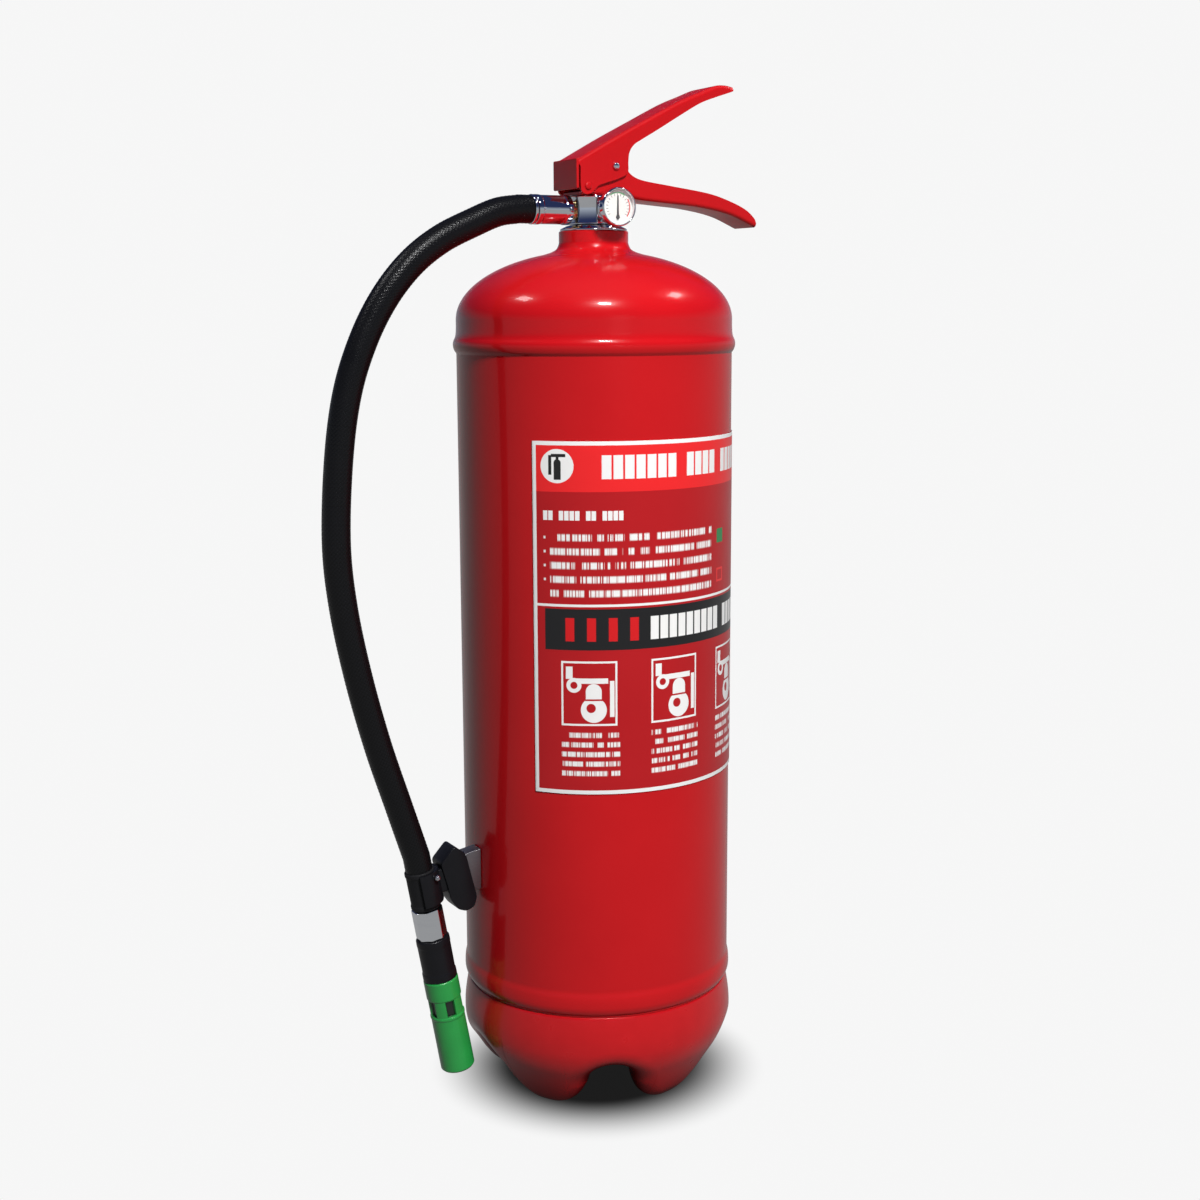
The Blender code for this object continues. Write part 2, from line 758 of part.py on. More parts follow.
def squeeze_lever(empty):
    """A channel that is open downwards, with a rear flange, a pivot hole and a slot that clears the pin."""
    lever = slab("squeeze_lever", lever_outline(), LEVER_WIDTH, LOOKS["red_paint"])
    inner_rear = -0.0184 + PLATE
    ceiling = [p for p in lever_top(PLATE * 1.13) if p[0] > inner_rear]
    low = HANDLE_Z - 0.02
    inside = [(inner_rear, low), (inner_rear, ceiling[0][1] - 0.0008), *ceiling, (0.12, ceiling[-1][1]), (0.12, low)]
    cut(lever, slab_cutter("lever_inside_cutter", inside, LEVER_WIDTH - 2 * PLATE))
    across = LEVER_SIDE + 0.005
    slit = 0.0012
    for name, side in (("near", -1), ("far", 1)):
        place = Matrix.Translation((inner_rear + slit / 2, side * LEVER_SIDE, HANDLE_Z + 0.0080))
        cut(lever, box_cutter(f"lever_{name}_slit_cutter", (slit, 2 * PLATE + 0.0006, 0.0190), place))
    cut(
        lever,
        round_cutter(
            "lever_pivot_cutter", PIVOT_RADIUS + GAP, (PIVOT_X, -across, PIVOT_Z), (PIVOT_X, across, PIVOT_Z)
        ),
    )
    cut(lever, round_cutter("lever_stud_cutter", STUD_RADIUS + GAP, (STUD_X, -across, STUD_Z), (STUD_X, 0, STUD_Z)))
    cut(lever, pin_slot_cutter())
    hang(lever, empty)
    return lever


def pin_slot_cutter():
    """A slot along the arc that the still pin draws in the far side of the turning lever."""
    arm = Vector((PIN_X - PIVOT_X, PIN_Z - PIVOT_Z))
    start = math.degrees(math.atan2(arm.y, arm.x))
    end = start + math.degrees(SQUEEZE)
    half = PIN_RADIUS + GAP
    centre = (PIVOT_X, PIVOT_Z)
    outer = arc(centre, arm.length + half, start, end, 6)
    inner = arc(centre, arm.length - half, end, start, 6)
    first = (PIN_X, PIN_Z)
    last = arc(centre, arm.length, end, end + 1, 2)[0]
    end_cap = arc(last, half, end, end + 180, 9)[1:-1]
    start_cap = arc(first, half, start + 180, start + 360, 9)[1:-1]
    outline = [*outer, *end_cap, *inner, *start_cap]
    return slab_cutter("pin_slot_cutter", outline, 2 * PLATE + 0.004, side=LEVER_SIDE)


def lever_pivot():
    """The rivet that the lever turns on, with a domed head at each end."""
    half = LEVER_SIDE + GAP
    head = [(0.0012, half + HEAD_HEIGHT), (PIVOT_HEAD - 0.0005, half + 0.0006), (PIVOT_HEAD, half)]
    low_head = [(r, -y) for r, y in head[::-1]]
    sections = [*head, (PIVOT_RADIUS, half), (PIVOT_RADIUS, -half), *low_head]
    return bar("lever_pivot", sections, LOOKS["steel"], aim((PIVOT_X, 0, PIVOT_Z), (0, 1, 0)), 20)


def seal_stud(empty):
    """The bright stud on the lever's near side, where a tamper seal is tied."""
    outside = LEVER_SIDE + GAP
    dome = arc((0.0, outside), STUD_HEAD, 88, 0, 5)
    sections = [*dome, (STUD_RADIUS, outside), (STUD_RADIUS, outside - PLATE)]
    stud = bar("seal_stud", sections, LOOKS["chrome"], aim((STUD_X, 0, STUD_Z), (0, -1, 0)), 18)
    hang(stud, empty)
    return stud


def safety_pin(empty):
    """A round pin through both sides of the handle, with a flat eye for the pull ring."""
    inner_end = HANDLE_SIDE
    stop = LEVER_SIDE + 2 * GAP
    sections = [
        (PIN_HEAD, stop + 0.0012),
        (PIN_HEAD, stop),
        (PIN_RADIUS, stop),
        (PIN_RADIUS, 0.0008 - inner_end),
        (PIN_RADIUS - 0.0008, -inner_end),
    ]
    pin = bar("safety_pin", sections, LOOKS["steel"], aim((PIN_X, 0, PIN_Z), (0, 1, 0)), 24)
    eye = slab(
        "pin_eye", arc((0.0, 0.0), PIN_HEAD, 0, 340, 18), PIN_EYE, LOOKS["steel"],
        Matrix.Translation((PIN_X, stop + 0.0042, PIN_Z)) @ Matrix.Rotation(math.radians(90), 4, "Z"),
    )
    hide_cutter(eye)
    bore = RING_WIRE + GAP
    hole_y = ring_y()
    hole = round_cutter("eye_hole_cutter", bore + 0.0005, (PIN_X - 0.01, hole_y, PIN_Z), (PIN_X + 0.01, hole_y, PIN_Z))
    cut(pin, eye, "UNION")
    cut(pin, hole)
    hang(pin, empty)
    return pin


def ring_y():
    """How far out the pull ring hangs from the pin's eye."""
    return LEVER_SIDE + 2 * GAP + 0.0046


def pull_ring(empty):
    """A round wire ring that hangs in the pin's eye."""
    centre = (PIN_X, ring_y(), PIN_Z - RING_RADIUS)
    ring = turned(
        "pull_ring", arc((RING_RADIUS, 0.0), RING_WIRE, 90, -225, 8), LOOKS["steel"], aim(centre, (0, 1, 0)), 36
    )
    hang(ring, empty)
    return ring


# Gauge


def gauge_case():
    """A round cup on a stem: its open side faces -Y."""
    back = GAUGE_BACK_Y
    rim = back + GAUGE_DEPTH
    inner = GAUGE_RADIUS - GAUGE_WALL
    stem_end = GLAND_RADIUS + 2 * GAP + 0.0013
    sections = [
        (GAUGE_RADIUS, rim),
        (GAUGE_RADIUS, back + 0.0010),
        (GAUGE_RADIUS - 0.0010, back),
        (GAUGE_STEM, back),
        (GAUGE_STEM, stem_end),
        (0.0, stem_end),
        (0.0, back + GAUGE_FLOOR),
        (inner, back + GAUGE_FLOOR),
        (inner, rim),
    ]
    return turned("gauge_case", sections, LOOKS["chrome"], aim((0, 0, GAUGE_Z), (0, -1, 0)))


def gauge_layers():
    """Depths of the dial, needle and lens, measured out from the tank's axis."""
    dial = GAUGE_BACK_Y + GAUGE_FLOOR + GAP
    needle = dial + DIAL_FILM + GAP
    lens = needle + NEEDLE_SPACE
    return dial, needle, lens


def gauge_dial():
    dial = gauge_layers()[0]
    place = aim((0, -dial, GAUGE_Z), (0, -1, 0))
    radius = GAUGE_RADIUS - GAUGE_WALL - GAP
    return bar("gauge_dial", [(radius, DIAL_FILM), (radius, 0.0)], LOOKS["dial"], place, 48)


def gauge_needle(empty):
    """A thin pointer standing up from a diamond hub low on the dial."""
    front = gauge_layers()[1]
    centre = GAUGE_Z - NEEDLE_DROP
    half = NEEDLE_WIDTH / 2
    outline = [
        (0.0, centre - NEEDLE_HUB * 1.3),
        (NEEDLE_HUB, centre),
        (half, centre + NEEDLE_HUB * 1.4),
        (half * 0.6, centre + NEEDLE_LENGTH),
        (-half * 0.6, centre + NEEDLE_LENGTH),
        (-half, centre + NEEDLE_HUB * 1.4),
        (-NEEDLE_HUB, centre),
    ]
    needle = slab("gauge_needle", outline, 0.0005, LOOKS["black_plastic"], side=-front - 0.00025)
    hang(needle, empty)
    return needle


def gauge_lens():
    lens = gauge_layers()[2]
    place = aim((0, -lens, GAUGE_Z), (0, -1, 0))
    radius = GAUGE_RADIUS - GAUGE_WALL - GAP
    return bar("gauge_lens", [(radius, LENS), (radius, 0.0)], LOOKS["glass"], place, 48)


def gauge_bezel():
    """The ring that is rolled over the case and holds the lens."""
    rim = GAUGE_BACK_Y + GAUGE_DEPTH
    inner = GAUGE_RADIUS - GAUGE_WALL - GAP
    front = rim + GAP + GAUGE_LIP
    outline = [
        (BEZEL_RADIUS - 0.0005, front),
        (BEZEL_RADIUS, front - 0.0006),
        (BEZEL_RADIUS, rim - 0.0030),
        (GAUGE_RADIUS + GAP, rim - 0.0030),
        (GAUGE_RADIUS + GAP, rim + GAP),
        (inner, rim + GAP),
        (inner, front - 0.0003),
        (inner + 0.0003, front),
    ]
    return turned("gauge_bezel", outline, LOOKS["chrome"], aim((0, 0, GAUGE_Z), (0, -1, 0)))


# Hose outlet, hose and nozzle


def outlet(distance):
    return aim((-distance, 0, PORT_Z), (-1, 0, 0))


def hose_adapter():
    start = GLAND_RADIUS + 2 * GAP + 0.0013
    length = FERRULE_START + FERRULE_LENGTH - 0.0010 - start
    return tube("hose_adapter", ADAPTER_RADIUS, 0.0030, length, LOOKS["brass"], outlet(start), 28)


def hose_ferrule():
    inner = ADAPTER_RADIUS + GAP
    outline = [
        (FERRULE_RADIUS - 0.0004, FERRULE_LENGTH),
        (FERRULE_RADIUS, FERRULE_LENGTH - 0.0004),
        (FERRULE_RADIUS, 0.0004),
        (FERRULE_RADIUS - 0.0004, 0.0),
        (inner, 0.0),
        (inner, FERRULE_LENGTH),
    ]
    return turned("hose_ferrule", outline, LOOKS["chrome"], outlet(FERRULE_START))


def hose_collar():
    start = FERRULE_START + FERRULE_LENGTH + GAP
    return tube(
        "hose_collar", COLLAR_RING_RADIUS, ADAPTER_RADIUS, COLLAR_RING_LENGTH, LOOKS["chrome"], outlet(start)
    )


def hose():
    line = [HOSE_ROUTE[0], *smooth_line(HOSE_ROUTE[1:-1], HOSE_STEPS), HOSE_ROUTE[-1]]
    curve = bpy.data.curves.new("hose", "CURVE")
    curve.dimensions = "3D"
    curve.bevel_depth = HOSE_RADIUS
    curve.bevel_resolution = 3
    curve.use_fill_caps = True
    spline = curve.splines.new("POLY")
    spline.points.add(len(line) - 1)
    for point, (x, z) in zip(spline.points, line):
        point.co = (x, 0.0, z, 1.0)
    return add("hose", curve, LOOKS["hose"])


def along_nozzle(distance):
    """A frame on the nozzle's axis, this far below the end of the hose, with +Z towards the tip."""
    direction = Vector((math.sin(NOZZLE_LEAN), 0, -math.cos(NOZZLE_LEAN)))
    end = Vector((HOSE_ROUTE[-1][0], 0, HOSE_ROUTE[-1][1]))
    turn = Matrix.Rotation(math.pi - NOZZLE_LEAN, 4, "Y")
    return Matrix.Translation(end + direction * distance) @ turn


def nozzle_starts():
    """Where the sleeve, coupling, grip and tip start along the nozzle's axis."""
    sleeve = GAP
    coupling = sleeve + SLEEVE_LENGTH + GAP
    grip = coupling + COUPLING_LENGTH + GAP
    tip = grip + GRIP_LENGTH + GAP
    return sleeve, coupling, grip, tip


def nozzle_sleeve():
    place = along_nozzle(nozzle_starts()[0])
    return tube("nozzle_sleeve", SLEEVE_RADIUS, NOZZLE_BORE, SLEEVE_LENGTH, LOOKS["black_rubber"], place)


def coupling_corner():
    return COUPLING_FLATS / 2 / math.cos(math.pi / 8)


def nozzle_coupling():
    """An octagon bar with its corners just past the sleeve's circle."""
    corner = coupling_corner()
    place = along_nozzle(nozzle_starts()[1])
    coupling = bar("nozzle_coupling", [(corner, COUPLING_LENGTH), (corner, 0.0)], LOOKS["chrome"], place, 8, False)
    ends = [place @ Vector((0, 0, z)) for z in (-0.01, COUPLING_LENGTH + 0.01)]
    cut(coupling, round_cutter("coupling_bore_cutter", NOZZLE_BORE, *ends))
    return coupling


def nozzle_grip():
    place = along_nozzle(nozzle_starts()[2])
    outline = [
        (GRIP_RADIUS + 0.0002, GRIP_LENGTH),
        (GRIP_RADIUS, 0.0006),
        (GRIP_RADIUS - 0.0006, 0.0),
        (NOZZLE_BORE, 0.0),
        (NOZZLE_BORE, GRIP_LENGTH),
    ]
    return turned("nozzle_grip", outline, LOOKS["black_plastic"], place)


def nozzle_tip():
    """A tube with a shallow band, and windows through the band."""
    place = along_nozzle(nozzle_starts()[3])
    inner = TIP_RADIUS - TIP_WALL
    band = TIP_RADIUS - TIP_BAND_DEPTH
    band_end = TIP_BAND_START + TIP_BAND_LENGTH
    outline = [
        (TIP_RADIUS - 0.0004, TIP_LENGTH),
        (TIP_RADIUS, TIP_LENGTH - 0.0006),
        (TIP_RADIUS - 0.0002, band_end + 0.0012),
        (TIP_RADIUS, band_end + 0.0004),
        (band, band_end),
        (band, TIP_BAND_START),
        (TIP_RADIUS, TIP_BAND_START - 0.0003),
        (TIP_RADIUS, 0.0004),
        (TIP_RADIUS - 0.0004, 0.0),
        (inner, 0.0),
        (inner, TIP_LENGTH),
    ]
    tip = turned("nozzle_tip", outline, LOOKS["green_plastic"], place, 32)
    middle = TIP_BAND_START + TIP_BAND_LENGTH / 2
    for i in range(WINDOWS):
        turn = Matrix.Rotation(WINDOW_TURN + math.tau * i / WINDOWS, 4, "Z")
        spot = place @ turn @ Matrix.Translation((TIP_RADIUS, 0, middle))
        size = (3 * TIP_WALL, WINDOW_WIDTH, TIP_BAND_LENGTH - 0.0008)
        cut(tip, box_cutter(f"window_cutter_{i + 1}", size, spot))
    return tip


def nozzle_core():
    """The insert inside the tip that the jet leaves through."""
    place = along_nozzle(nozzle_starts()[3] + 0.0005)
    radius = TIP_RADIUS - TIP_WALL - GAP
    outline = [
        (radius - 0.0035, CORE_LENGTH),
        (radius - 0.0035, TIP_BAND_START + TIP_BAND_LENGTH + 0.0010),
        (radius - 0.0025, TIP_BAND_START - 0.0010),
        (radius, TIP_BAND_START - 0.0020),
        (radius, 0.0),
        (NOZZLE_BORE - 0.0010, 0.0),
        (NOZZLE_BORE - 0.0010, CORE_LENGTH),
    ]
    return turned("nozzle_core", outline, LOOKS["black_plastic"], place, 28)


# Clip


def clip_frame():
    """A frame at the middle of the sleeve: +X towards the tank, square to the nozzle, +Z up along the nozzle."""
    middle = along_nozzle(nozzle_starts()[0] + SLEEVE_LENGTH * 0.45).translation
    return Matrix.Translation(middle) @ Matrix.Rotation(-NOZZLE_LEAN, 4, "Y")


def hose_clip():
    """A shield-shaped block that carries a saddle for the sleeve."""
    frame = clip_frame()
    reach = SLEEVE_RADIUS + GAP
    left, right = reach * 0.35, CLIP_NECK + 0.0020
    outline = [
        (left, CLIP_TOP - 0.0020),
        (left + 0.0090, CLIP_TOP + 0.0100),
        (right - 0.0040, CLIP_TOP + 0.0040),
        (right, CLIP_TOP - 0.0040),
        (right + 0.0010, -CLIP_BOTTOM + 0.0140),
        *arc((right - 0.0090, -CLIP_BOTTOM + 0.0120), 0.0090, -30, -110, 5),
        (left + 0.0030, -CLIP_BOTTOM + 0.0100),
        (left, -CLIP_BOTTOM + 0.0160),
    ]
    clip = slab("hose_clip", outline, 2 * CLIP_HALF_WIDTH, LOOKS["black_plastic"], frame)
    jaw_half = reach + JAW_WALL
    jaw_place = frame @ Matrix.Translation((JAW_DEPTH / 2 + 0.0005, 0, 0))
    cut(clip, box_cutter("jaw_block", (JAW_DEPTH, 2 * jaw_half, JAW_LENGTH), jaw_place), "UNION")
    cut(clip, round_cutter("jaw_bore_cutter", reach, *(frame @ Vector((0, 0, s * 0.04)) for s in (-1, 1))))
    below = [along_nozzle(nozzle_starts()[1] + z).translation for z in (-0.0010, 0.04)]
    cut(clip, round_cutter("coupling_clearance_cutter", coupling_corner() + 0.0010, *below))
    back = frame @ Matrix.Translation((CLIP_NECK + 0.0105, 0, 0))
    cut(clip, box_cutter("bracket_seat_cutter", (0.0160, BRACKET_WIDTH + 2 * GAP, BRACKET_HEIGHT + 2 * GAP), back))
    ends = [screw_frame() @ Vector((0, 0, z)) for z in (0.005, -SCREW_LENGTH - GAP)]
    cut(clip, round_cutter("clip_screw_cutter", SCREW_RADIUS + GAP, *ends, 16))
    return clip


def clip_bracket():
    """A steel block bar between the tank's wall and the clip, cut to the wall's curve."""
    frame = clip_frame()
    start = CLIP_NECK + 0.0025 + GAP
    length = -frame.translation.x - TANK_RADIUS - start + BRACKET_BITE
    place = frame @ Matrix.Translation((start + length / 2, 0, 0))
    mesh = bpy.data.meshes.new("clip_bracket")
    shape = bmesh.new()
    bmesh.ops.create_cube(shape, size=1.0, matrix=Matrix.Diagonal((length, BRACKET_WIDTH, BRACKET_HEIGHT, 1.0)))
    shape.to_mesh(mesh)
    shape.free()
    bracket = add("clip_bracket", mesh, LOOKS["steel"], place)
    cut(bracket, round_cutter("tank_wall_cutter", TANK_RADIUS + GAP, (0, 0, 0.08), (0, 0, 0.2), 72))
    return bracket


def screw_frame():
    """A frame on the jaw's near side, with +Z out of it."""
    side = SLEEVE_RADIUS + GAP + JAW_WALL
    return clip_frame() @ aim((SCREW_ALONG, -side, SCREW_UP), (0, -1, 0))


def clip_screw():
    dome = arc((0.0, GAP), SCREW_HEAD, 88, 0, 5)
    sections = [*dome, (SCREW_RADIUS, GAP), (SCREW_RADIUS, -SCREW_LENGTH)]
    return bar("clip_screw", sections, LOOKS["steel"], screw_frame(), 16)


def build_tank():
    shell_tube()
    shell_dome()
    neck_boss()
    shell_bottom()
    base_boot()
    instruction_label()


def build_valve():
    valve_collar()
    neck_o_ring()
    valve_body()
    stem_seal()
    gland_nut()
    siphon_tube()
    stem_spring()
    plunger = pivot_empty("stem_slide", (0, 0, CAP_CENTRE_Z))
    for piece in (valve_stem(), stem_cap()):
        hang(piece, plunger)


def build_handles():
    carry_handle()
    lever_pivot()
    hinge = pivot_empty("lever_hinge", (PIVOT_X, 0, PIVOT_Z))
    squeeze_lever(hinge)
    seal_stud(hinge)
    slide = pivot_empty("pin_slide", (PIN_X, 0, PIN_Z))
    safety_pin(slide)
    swing = pivot_empty("ring_swing", (PIN_X, ring_y(), PIN_Z))
    pull_ring(swing)
    hang(swing, slide)


def build_gauge():
    gauge_case()
    gauge_dial()
    gauge_needle(pivot_empty("needle_turn", (0, -gauge_layers()[1], GAUGE_Z - NEEDLE_DROP)))
    gauge_lens()
    gauge_bezel()


def build_hose():
    hose_adapter()
    hose_ferrule()
    hose_collar()
    hose()
    nozzle_sleeve()
    nozzle_coupling()
    nozzle_grip()
    nozzle_tip()
    nozzle_core()
    hose_clip()
    clip_bracket()
    clip_screw()


clear_scene()
PARTS = collection("fire_extinguisher")
CUTTERS = collection("cutters")
LOOKS = {
    "red_paint": material("red_paint", (0.70, 0.015, 0.015), 0.22),
    "red_boot": material("red_boot", (0.62, 0.014, 0.014), 0.35),
    "label": material("label", (0.66, 0.020, 0.022), 0.30),
    "chrome": material("chrome", (0.80, 0.82, 0.85), 0.08, 1.0),
    "steel": material("steel", (0.62, 0.62, 0.64), 0.28, 1.0),
    "brass": material("brass", (0.72, 0.52, 0.22), 0.25, 1.0),
    "black_rubber": material("black_rubber", (0.012, 0.012, 0.013), 0.55),
    "black_plastic": material("black_plastic", (0.014, 0.014, 0.016), 0.40),
    "hose": material("hose", (0.016, 0.017, 0.018), 0.38),
    "green_plastic": material("green_plastic", (0.030, 0.340, 0.075), 0.38),
    "dial": material("dial", (0.90, 0.90, 0.88), 0.45),
    "glass": material("glass", (0.95, 0.97, 0.98), 0.03, 0.0, 0.35),
}
build_tank()
build_valve()
build_handles()
build_gauge()
build_hose()
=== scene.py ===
"""Looks of a portable fire extinguisher: tank, boot, label, valve, handles, gauge, hose, nozzle and clip.

Metres, +Z up along the tank. The handles reach towards +X, the hose hangs at -X and the gauge faces -Y.
"""

import math

import bmesh
import bpy
import numpy as np
from mathutils import Matrix, Vector


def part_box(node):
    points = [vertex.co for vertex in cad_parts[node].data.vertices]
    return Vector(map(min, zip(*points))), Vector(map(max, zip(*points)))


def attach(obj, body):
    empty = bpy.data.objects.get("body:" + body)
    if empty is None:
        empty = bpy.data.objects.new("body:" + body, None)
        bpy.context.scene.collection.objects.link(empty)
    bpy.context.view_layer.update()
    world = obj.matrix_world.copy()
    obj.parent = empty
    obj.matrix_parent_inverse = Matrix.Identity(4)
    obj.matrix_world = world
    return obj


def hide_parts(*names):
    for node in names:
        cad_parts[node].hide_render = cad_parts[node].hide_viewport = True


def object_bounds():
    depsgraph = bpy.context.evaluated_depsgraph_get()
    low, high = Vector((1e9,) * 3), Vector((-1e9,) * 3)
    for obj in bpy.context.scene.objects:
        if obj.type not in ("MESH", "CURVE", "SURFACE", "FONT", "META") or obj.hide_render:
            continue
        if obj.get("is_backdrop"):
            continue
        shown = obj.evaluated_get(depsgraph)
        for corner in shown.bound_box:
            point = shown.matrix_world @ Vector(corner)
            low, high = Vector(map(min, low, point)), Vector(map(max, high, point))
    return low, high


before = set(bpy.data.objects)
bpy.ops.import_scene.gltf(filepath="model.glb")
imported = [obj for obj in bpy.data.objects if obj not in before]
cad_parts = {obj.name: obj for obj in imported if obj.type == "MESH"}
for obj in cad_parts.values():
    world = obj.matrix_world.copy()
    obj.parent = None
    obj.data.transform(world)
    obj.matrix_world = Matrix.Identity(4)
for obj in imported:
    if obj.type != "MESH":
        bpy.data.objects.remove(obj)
CAD_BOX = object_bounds()

MERGE = 0.000002
SHELL_STEPS = 224
GAP = 0.0003

# Tank and boot
TANK_WALL = 0.0014
TUBE_LOW, TUBE_HIGH = (corner.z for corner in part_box("shell_tube"))
DOME_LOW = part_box("shell_dome")[0].z
NECK_LOW, NECK_HIGH = (corner.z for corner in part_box("neck_boss"))
BOOT_RADIUS = 0.0816
BOOT_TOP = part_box("base_boot")[1].z
TANK_RADIUS = 0.0800
NECK_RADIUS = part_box("neck_boss")[1].x
DOME_SKIRT = 0.0170
LOWER_BEAD_PROUD = 0.0011
SHOULDER_BEAD_PROUD = 0.0019
CROWN_RISE = 0.0395
CROWN_END = 0.0290
LOBES = 5
LOBE_TURN = math.radians(14)
ARCH_HALF = 0.0140
ARCH_TOP = 0.0285
ARCH_FLARE = 0.0045
LOBE_ROLL = 0.0150
LOBE_SINK = 0.0110
BOOT_WALL = 0.0030
BOOT_INSIDE = TANK_RADIUS - 0.0035
# How near an arch the boot's painted shade starts, as a share of LOBE_ROLL, and how fast it grows
SHADE_FROM = 0.5625
SHADE_RATE = 1.6

# Label, on the tank from START to END, counted from -Y towards +X
LABEL_LOW, LABEL_HIGH = (corner.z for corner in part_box("instruction_label"))
LABEL_START = math.radians(-54)
LABEL_END = math.radians(100)
LABEL_RADIUS = TANK_RADIUS + GAP
FILM = 0.0003

# Valve and handles
VALVE_LOW, VALVE_HIGH = (corner.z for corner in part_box("valve_body"))
COLLAR_Z = NECK_HIGH + GAP
COLLAR_TOP = VALVE_LOW - GAP
VALVE_FLATS = 0.0280
WAIST = 0.055
PORT_Z = VALVE_LOW + 0.0080
FERRULE_START = 0.0170
FERRULE_LENGTH = 0.0218
FERRULE_RADIUS = 0.0084
CRIMP_LENGTH = 0.0019
HANDLE_Z = VALVE_HIGH + GAP
PLATE = 0.0016
LEVER_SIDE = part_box("squeeze_lever")[1].y
LEVER_BEND = 0.0024
HANDLE_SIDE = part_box("carry_handle")[1].y
HANDLE_BEND = 0.0021
PIVOT = Vector((-0.0110, 0.0, HANDLE_Z + 0.0046))
STUD = Vector((0.0070, -LEVER_SIDE, HANDLE_Z + 0.0160))
PIN = Vector((0.0090, 0.0, HANDLE_Z + 0.0146))
PIN_RADIUS = 0.0018
SQUEEZE = math.radians(14)

# Gauge
GAUGE_Z = PORT_Z + 0.0008
GAUGE_FRONT = -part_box("gauge_bezel")[0].y
GAUGE_BACK = 0.0242
GAUGE_RADIUS = 0.0102
BEZEL_RADIUS = 0.0108
RIM_DEPTH = 0.0045
GLASS_RADIUS = 0.0095
# How far the glass, the pointer and the face lie behind the rim's front
GLASS_BEHIND = 0.0012
POINTER_BEHIND = 0.0022
FACE_BEHIND = 0.0030
HUB_Z = GAUGE_Z - 0.0058
POINTER_HALF = 0.00055

# Hose: the route of its middle, in the plane y = 0, from the valve's collar to the nozzle's sleeve
HOSE_RADIUS = 0.0080
HOSE_ROUTE = (
    (-0.0414, 0.5205),
    (-0.0480, 0.5205),
    (-0.0610, 0.5185),
    (-0.0760, 0.5126),
    (-0.0960, 0.5032),
    (-0.1140, 0.4900),
    (-0.1300, 0.4715),
    (-0.1430, 0.4485),
    (-0.1530, 0.4205),
    (-0.1590, 0.3850),
    (-0.1618, 0.3400),
    (-0.1590, 0.3040),
    (-0.1515, 0.2640),
    (-0.1410, 0.2230),
    (-0.1290, 0.1850),
    (-0.1190, 0.1538),
    (-0.1176, 0.1459),
)
BRAID_CELLS = 22
BRAID_DEPTH = 0.00032
HOSE_ROWS = 948

# Nozzle, measured along its own axis from the end of the hose
NOZZLE_LEAN = math.radians(10.06)
SLEEVE_RADIUS = 0.0088
SLEEVE_LENGTH = 0.0237
COUPLING_FLATS = 0.0172
COUPLING_LENGTH = 0.0182
GRIP_RADIUS = 0.0099
GRIP_LENGTH = 0.0262
TIP_RADIUS = 0.0103
TIP_LENGTH = 0.0585
TIP_WALL = 0.0020
BORE_DEPTH = 0.0160
NOZZLE_BORE = 0.0042
BAND_START = 0.0120
BAND_LENGTH = 0.0105
WINDOWS = 5
WINDOW_TURN = math.radians(-13)
WINDOW_WIDTH = 0.0056
WINDOW_INSET = 0.0004
WINDOW_EDGE = 0.0003
POCKET = 0.0017
SLEEVE_START = GAP
COUPLING_START = SLEEVE_START + SLEEVE_LENGTH + GAP
GRIP_START = COUPLING_START + COUPLING_LENGTH + GAP
TIP_START = GRIP_START + GRIP_LENGTH + GAP


# Surfaces worked out on grids


def grid_faces(rows, columns, wrap_rows, wrap_columns):
    """Quads between neighbours in a grid of points; a wrapped direction joins its last line to its first."""
    last_row = rows if wrap_rows else rows - 1
    last_column = columns if wrap_columns else columns - 1
    r, c = np.meshgrid(np.arange(last_row), np.arange(last_column), indexing="ij")
    below, beside = (r + 1) % rows, (c + 1) % columns
    corners = (r * columns + c, r * columns + beside, below * columns + beside, below * columns + c)
    return np.stack(corners, axis=-1).reshape(-1, 4).tolist()


def surface(points, wrap_rows=False, wrap_columns=True, capped=False):
    """(points, faces) of a (rows, columns, 3) grid; capped adds a flat face over its first and last rows."""
    rows, columns = points.shape[:2]
    faces = grid_faces(rows, columns, wrap_rows, wrap_columns)
    if capped:
        ring = np.arange(columns)
        faces += [ring.tolist(), (ring + (rows - 1) * columns).tolist()]
    return points.reshape(-1, 3), faces


def joined(*shapes):
    """Several (points, faces) shapes as one, each keeping its own points."""
    faces, start = [], 0
    for points, own in shapes:
        faces += [[corner + start for corner in face] for face in own]
        start += len(points)
    return np.concatenate([points for points, _ in shapes]), faces


def piece(name, shape, finish, body, nodes, sharp, marks=None):
    """A named piece from (points, faces), with its doubles merged and its faces turned outwards.

    marks is an optional (attribute name, value for each point), which the finish reads.
    """
    points, faces = shape
    mesh = bpy.data.meshes.new(name)
    mesh.from_pydata(points.tolist(), [], faces)
    if marks:
        mark = mesh.attributes.new(marks[0], "FLOAT", "POINT")
        mark.data.foreach_set("value", np.asarray(marks[1], np.float32).ravel())
    tidy = bmesh.new()
    tidy.from_mesh(mesh)
    bmesh.ops.remove_doubles(tidy, verts=tidy.verts, dist=MERGE)
    bmesh.ops.recalc_face_normals(tidy, faces=tidy.faces)
    tidy.to_mesh(mesh)
    tidy.free()
    mesh.shade_smooth()
    mesh.set_sharp_from_angle(angle=math.radians(sharp))
    return settle(bpy.data.objects.new(name, mesh), finish, body, nodes)


def settle(obj, finish, body, nodes):
    """Puts a made piece in the scene with its finish, on its body, in place of its nodes."""
    bpy.context.scene.collection.objects.link(obj)
    obj.data.materials.clear()
    obj.data.materials.append(FINISH[finish])
    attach(obj, body)
    if nodes:
        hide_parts(*nodes)
    return obj


def aim(origin, direction):
    """A matrix that puts its own +Z along direction, at origin."""
    return Matrix.Translation(origin) @ Vector(direction).to_track_quat("Z", "Y").to_matrix().to_4x4()


